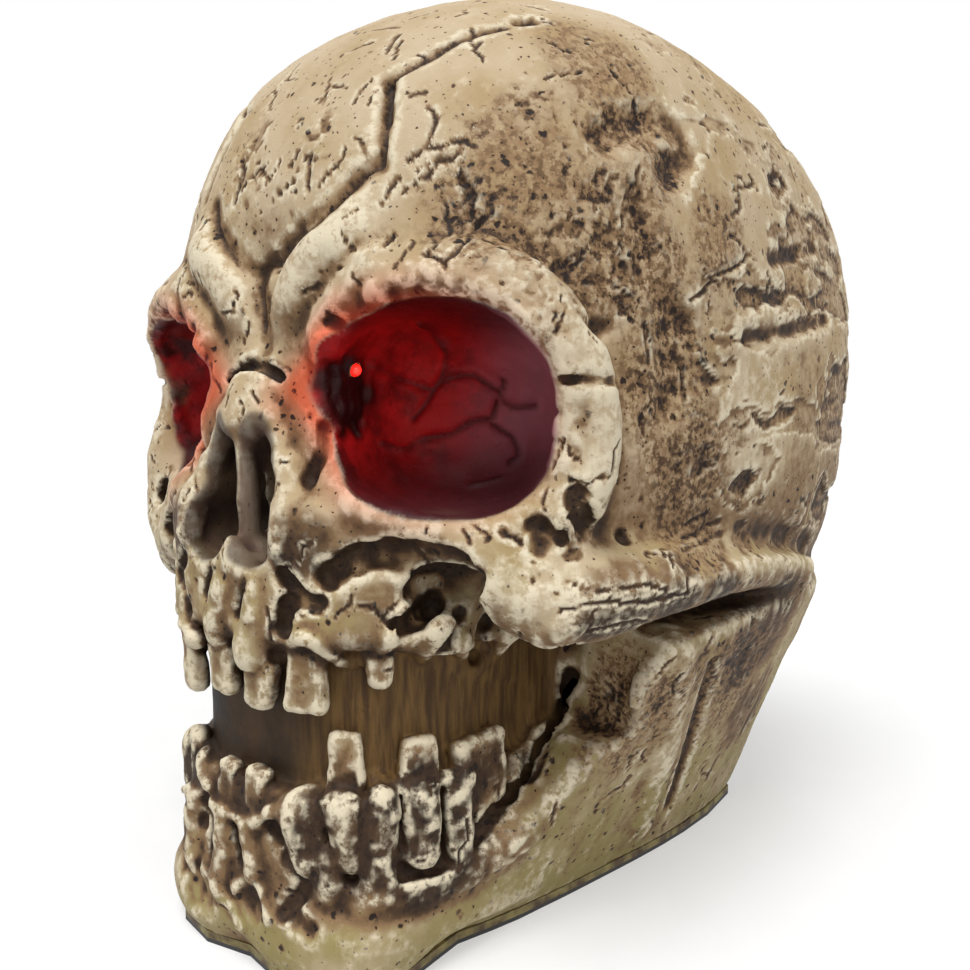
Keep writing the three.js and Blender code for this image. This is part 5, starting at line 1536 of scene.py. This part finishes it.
def bone_finish(c):
    m, g, s = new_material("Painted bone")
    at = g.place()
    along = g.add("ShaderNodeSeparateXYZ")
    g.link(at, along.inputs[0])
    tone = g.noise(at, 22, 5)
    speck = g.noise(at, 260, 4, 0.65)
    brushed = g.noise(g.stretch(at, (320, 320, 40)), 1.0, 4)
    pore = g.maths("MAXIMUM", pits(g, at, 170, tone), pits(g, at, 420, speck))
    base = g.mix(g.ramp(tone, 0.35, 0.68), linear(c.bone), linear(c.bone_warm))
    # Greener and darker towards the bottom, up to the underside of the arch; in part this is painted shade.
    low = g.maths("MULTIPLY", g.ramp(along.outputs["Z"], 0.23, 0.08), g.ramp(tone, 0.3, 0.6, 0.2, 0.9))
    base = g.mix(low, base, linear(c.low_tone_and_shade))
    base = g.mix(g.maths("MULTIPLY", g.value("stain"), g.ramp(speck, 0.25, 0.65)), base, linear(c.stain))
    # The wash value brings painted shade as well as the real wash; both darken the bone through these steps.
    loaded = g.maths("ADD", g.value("wash_and_shade"), g.maths("MULTIPLY", g.maths("SUBTRACT", speck, 0.5), 0.5))
    eroded = g.ramp(g.noise(at, 360, 5, 0.6), 0.42, 0.6, -0.3, 0.34)
    loaded = g.maths("ADD", loaded, g.maths("MULTIPLY", g.value("stain"), eroded))
    loaded = g.maths("ADD", loaded, g.maths("MULTIPLY", pore, 0.95))
    base = g.mix(g.ramp(loaded, 0.08, 0.5), base, linear(c.wash_and_shade_light))
    base = g.mix(g.ramp(loaded, 0.42, 0.85), base, linear(c.wash_and_shade))
    base = g.mix(g.ramp(loaded, 0.8, 1.15), base, linear(c.wash_and_shade_deep))
    lift = g.maths("MULTIPLY", g.value("pale"), g.ramp(speck, 0.25, 0.6), True)
    base = g.mix(g.ramp(lift, 0.05, 0.7), base, linear(c.pale))
    front = g.mix(g.ramp(tone, 0.35, 0.65), linear(c.mouth_front), linear(c.mouth_grain))
    wall = g.mix(g.ramp(brushed, 0.3, 0.7), linear(c.mouth), linear(c.mouth_grain))
    wall = g.mix(g.ramp(along.outputs["X"], 0.015, 0.042), front, wall)
    base = g.mix(g.value("mouth"), base, wall)
    inner = g.mix(g.ramp(tone, 0.3, 0.7), linear(c.nose), linear(c.wash_and_shade_deep))
    base = g.mix(g.maths("MULTIPLY", g.value("nose"), 0.8), base, inner)
    lining = g.mix(g.ramp(g.noise(at, 48, 6, 0.6), 0.42, 0.66), linear(c.socket), linear(c.socket_dark))
    # Painted light: the red lining fades to a duller tone away from the lamp, as its light weakens.
    lining = g.mix(g.maths("MULTIPLY", g.value("far"), 0.9), lining, linear(c.socket_far))
    # Painted shade in the creases of the lining.
    lining = g.mix(g.value("fold"), lining, linear(c.socket_crease_shade))
    lining = g.mix(g.value("shade"), lining, g.mix(0.5, linear(c.socket_dark), (0.0, 0.0, 0.0)))
    base = g.mix(g.value("socket"), base, lining)
    # Painted light: the lamps' orange-red light on the bone round the sockets, multiplied into its colour.
    base = g.mix(g.maths("MULTIPLY", g.value("rim_lamp_light"), 0.85), base, linear(c.rim_lamp_light), "MULTIPLY")
    g.link(base, s.inputs["Base Color"])
    rough = g.mix(g.value("socket"), (0.6, 0.6, 0.6), (0.5, 0.5, 0.5))
    rough = g.mix(g.ramp(speck, 0.3, 0.7, 0.0, 0.3), rough, (0.8, 0.8, 0.8))
    g.link(rough, s.inputs["Roughness"])
    shine = g.mix(g.value("glow"), (0.0, 0.0, 0.0), linear(c.glow))
    g.link(shine, s.inputs["Emission Color"])
    s.inputs["Emission Strength"].default_value = 1.0
    s.inputs["Specular IOR Level"].default_value = 0.2
    tall = g.maths("ADD", g.maths("MULTIPLY", speck, 0.6), g.maths("MULTIPLY", g.noise(at, 700, 3), 0.5))
    tall = g.maths("SUBTRACT", tall, g.maths("MULTIPLY", pore, 0.6))
    bump(g, s, tall, 0.55, 0.0006)
    return m


def base_finish(c):
    """A dark moulding whose edge is painted over with the shell, down to a thin line."""
    m, g, s = new_material("Base moulding")
    mask, tall = grain(g, 700)
    parts = g.add("ShaderNodeSeparateXYZ")
    g.link(g.add("ShaderNodeNewGeometry").outputs["Position"], parts.inputs[0])
    off_x = g.maths("ABSOLUTE", parts.outputs["X"])
    off_y = g.maths("ABSOLUTE", g.maths("SUBTRACT", parts.outputs["Y"], CORE_Y * MM))
    apart = [g.ramp(off, (half - CORE_FADE) * MM, half * MM) for off, half in zip((off_x, off_y), CORE_HALF)]
    over = g.maths("MULTIPLY", g.ramp(parts.outputs["Z"], 0.0016, 0.0021), g.maths("MAXIMUM", *apart))
    dark = g.mix(mask, (0.022, 0.022, 0.024), (0.045, 0.045, 0.048))
    coat = g.mix(g.ramp(g.noise(g.place(), 90, 5), 0.35, 0.65), linear(c.wash_and_shade), linear(c.low_tone_and_shade))
    g.link(g.mix(over, dark, coat), s.inputs["Base Color"])
    g.link(g.ramp(mask, 0.0, 1.0, 0.54, 0.7), s.inputs["Roughness"])
    bump(g, s, tall, 0.5, 0.0001)
    return m


def lamp_finish(c):
    """A lens that is brightest at its tip, by the distance from there on either side."""
    m, g, s = new_material("Lit red lens")
    where = g.add("ShaderNodeNewGeometry").outputs["Position"]
    parts = g.add("ShaderNodeSeparateXYZ")
    g.link(where, parts.inputs[0])
    folded = g.add("ShaderNodeCombineXYZ")
    g.link(g.maths("ABSOLUTE", parts.outputs["X"]), folded.inputs["X"])
    g.link(parts.outputs["Y"], folded.inputs["Y"])
    g.link(parts.outputs["Z"], folded.inputs["Z"])
    away = g.add("ShaderNodeVectorMath", operation="DISTANCE")
    g.link(folded.outputs[0], away.inputs[0])
    away.inputs[1].default_value = (LED_AT + LENS_TIP * LED_AXIS - (0, 0, SINK)) * MM
    edge = g.ramp(away.outputs["Value"], 0.0006, 0.0034)
    g.link(g.mix(edge, linear(c.lamp_hot), linear(c.lamp)), s.inputs["Emission Color"])
    mask, tall = grain(g, 500)
    g.link(g.mix(mask, linear(c.lamp), linear((0.55, 0.02, 0.02))), s.inputs["Base Color"])
    s.inputs["Emission Strength"].default_value = 1.5
    s.inputs["Roughness"].default_value = 0.12
    return m


def paint(obj, material):
    obj.data.materials.clear()
    obj.data.materials.append(material)


# Settings

def colour_setting(name, words, default):
    return bpy.props.FloatVectorProperty(
        name=name, description=words, subtype="COLOR_GAMMA", size=3, min=0.0, max=1.0, default=default
    )


def length_setting(name, words, default):
    return bpy.props.FloatProperty(
        name=name, description=words, default=default, min=0.0, precision=5, subtype="DISTANCE", unit="LENGTH"
    )


class SkullSizes(bpy.types.PropertyGroup):
    """Sizes of the dressed surface."""

    face_step: length_setting("Face step", "Spacing of the surface's points on the face", 0.0014)
    rear_step: length_setting("Rear step", "Spacing of the surface's points at the back", 0.0025)
    lump: length_setting("Lumps", "Height of the uneven surface", 0.0008)
    pit: length_setting("Pits", "Depth of the scattered pits", 0.0012)
    ledge: length_setting("Ledges", "Height of the broken ledges", 0.0014)
    crack: bpy.props.FloatProperty(
        name="Cracks",
        description="Share of the cracks' full depth",
        default=1.0,
        min=0.0,
        max=2.0,
        subtype="FACTOR",
    )
    dashes: bpy.props.IntProperty(
        name="Dashes", description="Number of short scattered cracks", default=760, min=0, subtype="UNSIGNED"
    )


class SkullColours(bpy.types.PropertyGroup):
    """Colours of the paint, in sRGB."""

    bone: colour_setting("Bone", "Ground coat", (0.79, 0.71, 0.59))
    bone_warm: colour_setting("Warm bone", "Second tone of the ground coat", (0.70, 0.60, 0.44))
    # Greener, darker tone of the lower parts, in part painted shade under the arch.
    low_tone_and_shade: colour_setting("Low tone", "Greenish tone of the lower parts", (0.60, 0.55, 0.35))
    stain: colour_setting("Stain", "Brown patches", (0.58, 0.46, 0.33))
    # These wash colours paint the real wash and also the painted shade in recesses and low places.
    wash_and_shade_light: colour_setting("Thin wash", "Wash where it lies thin", (0.53, 0.42, 0.30))
    wash_and_shade: colour_setting("Wash", "Wash in the cracks", (0.31, 0.23, 0.16))
    wash_and_shade_deep: colour_setting("Deep wash", "Wash in the deepest places", (0.14, 0.10, 0.08))
    pale: colour_setting("Dry brush", "Pale edges", (0.90, 0.85, 0.74))
    mouth: colour_setting("Mouth wall", "Wall behind the teeth", (0.46, 0.35, 0.20))
    mouth_front: colour_setting("Front wall", "Wall behind the front teeth", (0.13, 0.115, 0.105))
    mouth_grain: colour_setting("Mouth grain", "Grain of that wall", (0.28, 0.20, 0.12))
    nose: colour_setting("Nose", "Inside of the nose", (0.36, 0.28, 0.25))
    socket: colour_setting("Socket", "Lining of the sockets", (0.68, 0.085, 0.095))
    socket_dark: colour_setting("Dark socket", "Dark tone of the lining", (0.22, 0.014, 0.018))
    # Painted light: the lining's duller tone where the lamp's light is weak.
    socket_far: colour_setting("Far socket", "Lining away from the lamp", (0.64, 0.40, 0.44))
    # Painted shade in the creases of the lining.
    socket_crease_shade: colour_setting("Socket fold", "Creases of the lining", (0.26, 0.03, 0.04))
    # Painted light of the lamps on the bone round the sockets.
    rim_lamp_light: colour_setting("Socket rim", "Tint round the sockets", (1.0, 0.46, 0.30))
    glow: colour_setting("Glow", "Light of the lamps on the paint", (0.86, 0.06, 0.05))
    lamp: colour_setting("Lens", "Lens of the lamps", (1.0, 0.06, 0.05))
    lamp_hot: colour_setting("Lens middle", "Bright middle of the lamps", (1.0, 0.24, 0.19))


class SKULL_OT_shells(bpy.types.Operator):
    """Build both sculpted shells and paint them"""

    bl_idname = "skull.shells"
    bl_label = "Shells"

    def execute(self, context):
        coarse = 1.0
        outer = outer_skin(context.scene.skull_sizes, coarse)
        inner = inner_skin()
        finish = bone_finish(context.scene.skull_colours)
        halves = (
            ("face_shell_skin", "face_shell", -BEYOND, SEAM_Y),
            ("rear_shell_skin", "rear_shell", SEAM_Y, BEYOND),
        )
        for name, node, front, back in halves:
            half = bpy.data.objects.new(name, outer.data.copy())
            context.scene.collection.objects.link(half)
            box = block_object("half_box", (-BEYOND, front, SHELL_Z), (BEYOND, back, ABOVE))
            bores = lamp_bores() if node == "face_shell" else []
            combine(half, [(box, "INTERSECT"), (inner, "DIFFERENCE"), *((b, "DIFFERENCE") for b in bores)])
            for tool in (box, *bores):
                drop(tool)
            half.data.shade_smooth()
            paint(half, finish)
            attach(half, BODY)
            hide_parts(node)
        drop(outer)
        drop(inner)
        return {"FINISHED"}


class SKULL_OT_lamps(bpy.types.Operator):
    """Finish the lamps and their clips"""

    bl_idname = "skull.lamps"
    bl_label = "Lamps"

    def execute(self, context):
        lens = lamp_finish(context.scene.skull_colours)
        clip = plain_finish("Black clip", (0.09, 0.09, 0.1), (0.14, 0.14, 0.15), 0.55)
        for side in ("left", "right"):
            paint(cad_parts["led_" + side], lens)
            paint(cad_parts["led_clip_" + side], clip)
        return {"FINISHED"}


class SKULL_OT_base(bpy.types.Operator):
    """Finish the base plate, its door and screws"""

    bl_idname = "skull.base"
    bl_label = "Base"

    def execute(self, context):
        moulded = plain_finish(
            "Dark moulding", (0.17, 0.17, 0.18), (0.24, 0.24, 0.25), 0.62, scale=700.0, height=0.0001
        )
        steel = plain_finish(
            "Plated steel", (0.68, 0.68, 0.69), (0.55, 0.55, 0.56), 0.34, 1.0, scale=900.0, height=0.00003
        )
        paint(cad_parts["base_plate"], base_finish(context.scene.skull_colours))
        for name in ("battery_door", "battery_box"):
            paint(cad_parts[name], moulded)
        for name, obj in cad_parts.items():
            if "screw" in name or name.startswith(("contact", "spring", "switch_body")):
                paint(obj, steel)
        return {"FINISHED"}


class SKULL_OT_electrics(bpy.types.Operator):
    """Finish the board, switch, cells and wires"""

    bl_idname = "skull.electrics"
    bl_label = "Electrics"

    def execute(self, context):
        finishes = {
            "circuit_board": plain_finish(
                "Green board", (0.12, 0.36, 0.18), (0.08, 0.27, 0.13), 0.4, scale=300.0
            ),
            "switch_knob": plain_finish("Black knob", (0.07, 0.07, 0.075), (0.12, 0.12, 0.12), 0.5),
            "cell": plain_finish(
                "Wrapped cell",
                (0.16, 0.16, 0.19),
                (0.22, 0.22, 0.25),
                0.3,
                metal=0.2,
                scale=300.0,
                height=0.00002,
                coat=0.3,
            ),
            "lead_minus": plain_finish("Black wire", (0.06, 0.06, 0.065), (0.1, 0.1, 0.1), 0.45),
            "lead": plain_finish("Red wire", (0.55, 0.06, 0.06), (0.42, 0.05, 0.05), 0.45),
        }
        for name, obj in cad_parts.items():
            for start, finish in finishes.items():
                if name.startswith(start):
                    paint(obj, finish)
                    break
        return {"FINISHED"}


class SKULL_OT_stage(bpy.types.Operator):
    """Set the camera, lamps, floor and background"""

    bl_idname = "skull.stage"
    bl_label = "Stage"

    def execute(self, context):
        scene = context.scene
        scene.view_settings.view_transform = "Standard"
        data = bpy.data.cameras.new("photo_camera")
        data.sensor_width = SENSOR_MM
        data.sensor_fit = "HORIZONTAL"
        data.lens = FOCAL_PX / FRAME_PX * SENSOR_MM
        camera = bpy.data.objects.new("photo_camera", data)
        scene.collection.objects.link(camera)
        camera.location = (EYE - (0, 0, SINK)) * MM
        camera.rotation_euler = Vector((AIM - EYE) * MM).to_track_quat("-Z", "Y").to_euler()
        scene.camera = camera
        for name, at, spread, power in SUNS:
            light = bpy.data.lights.new(name, "SUN")
            light.angle = spread
            light.energy = power
            lamp = bpy.data.objects.new(name, light)
            scene.collection.objects.link(lamp)
            lamp.location = at
            lamp.rotation_euler = (-Vector(at)).to_track_quat("-Z", "Y").to_euler()
        self.world(scene)
        self.floor()
        return {"FINISHED"}

    def seen(self, g):
        """1 where the camera sees this, directly, mirrored or through glass."""
        path = g.add("ShaderNodeLightPath")
        seen = g.maths("MAXIMUM", path.outputs["Is Camera Ray"], path.outputs["Is Glossy Ray"])
        return g.maths("MAXIMUM", seen, path.outputs["Is Transmission Ray"])

    def world(self, scene):
        world = bpy.data.worlds.new("studio")
        scene.world = world
        world.use_nodes = True
        g = Graph(world.node_tree)
        back = world.node_tree.nodes["Background"]
        seen = self.seen(g)
        g.link(g.ramp(seen, 0.0, 1.0, 0.34, 1.0), back.inputs["Strength"])
        back.inputs["Color"].default_value = (1, 1, 1, 1)

    def floor(self):
        points = [(FLOOR_HALF * a, FLOOR_HALF * b, 0) for a, b in ((-1, -1), (1, -1), (1, 1), (-1, 1))]
        floor = mesh_object("floor", points, [(0, 1, 2, 3)])
        m, g, s = new_material("Pale floor")
        seen = self.seen(g)
        mask, _ = grain(g, 40.0)
        pale = g.mix(mask, (0.60, 0.60, 0.60), (0.62, 0.62, 0.62))
        g.link(pale, s.inputs["Base Color"])
        s.inputs["Roughness"].default_value = 0.9
        s.inputs["Specular IOR Level"].default_value = 0.0
        s.inputs["Emission Color"].default_value = (1, 1, 1, 1)
        g.link(g.maths("MULTIPLY", seen, 0.4), s.inputs["Emission Strength"])
        paint(floor, m)


class SKULL_PT_panel(bpy.types.Panel):
    """Pieces of the skull and its settings"""

    bl_label = "Skull"
    bl_idname = "SKULL_PT_panel"
    bl_space_type = "VIEW_3D"
    bl_region_type = "UI"
    bl_category = "Skull"

    def draw(self, context):
        for piece in PIECES:
            self.layout.operator(piece.bl_idname)
        for settings in (context.scene.skull_sizes, context.scene.skull_colours):
            for key in settings.__annotations__:
                self.layout.prop(settings, key)


PIECES = (SKULL_OT_shells, SKULL_OT_lamps, SKULL_OT_base, SKULL_OT_electrics, SKULL_OT_stage)
CLASSES = (SkullSizes, SkullColours, *PIECES, SKULL_PT_panel)


def register():
    for cls in CLASSES:
        bpy.utils.register_class(cls)
    bpy.types.Scene.skull_sizes = bpy.props.PointerProperty(type=SkullSizes)
    bpy.types.Scene.skull_colours = bpy.props.PointerProperty(type=SkullColours)


def unregister():
    del bpy.types.Scene.skull_colours
    del bpy.types.Scene.skull_sizes
    for cls in reversed(CLASSES):
        bpy.utils.unregister_class(cls)


def main():
    register()
    bpy.ops.skull.shells()
    bpy.ops.skull.lamps()
    bpy.ops.skull.base()
    bpy.ops.skull.electrics()
    bpy.ops.skull.stage()
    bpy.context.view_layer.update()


if __name__ == "__main__":
    main()
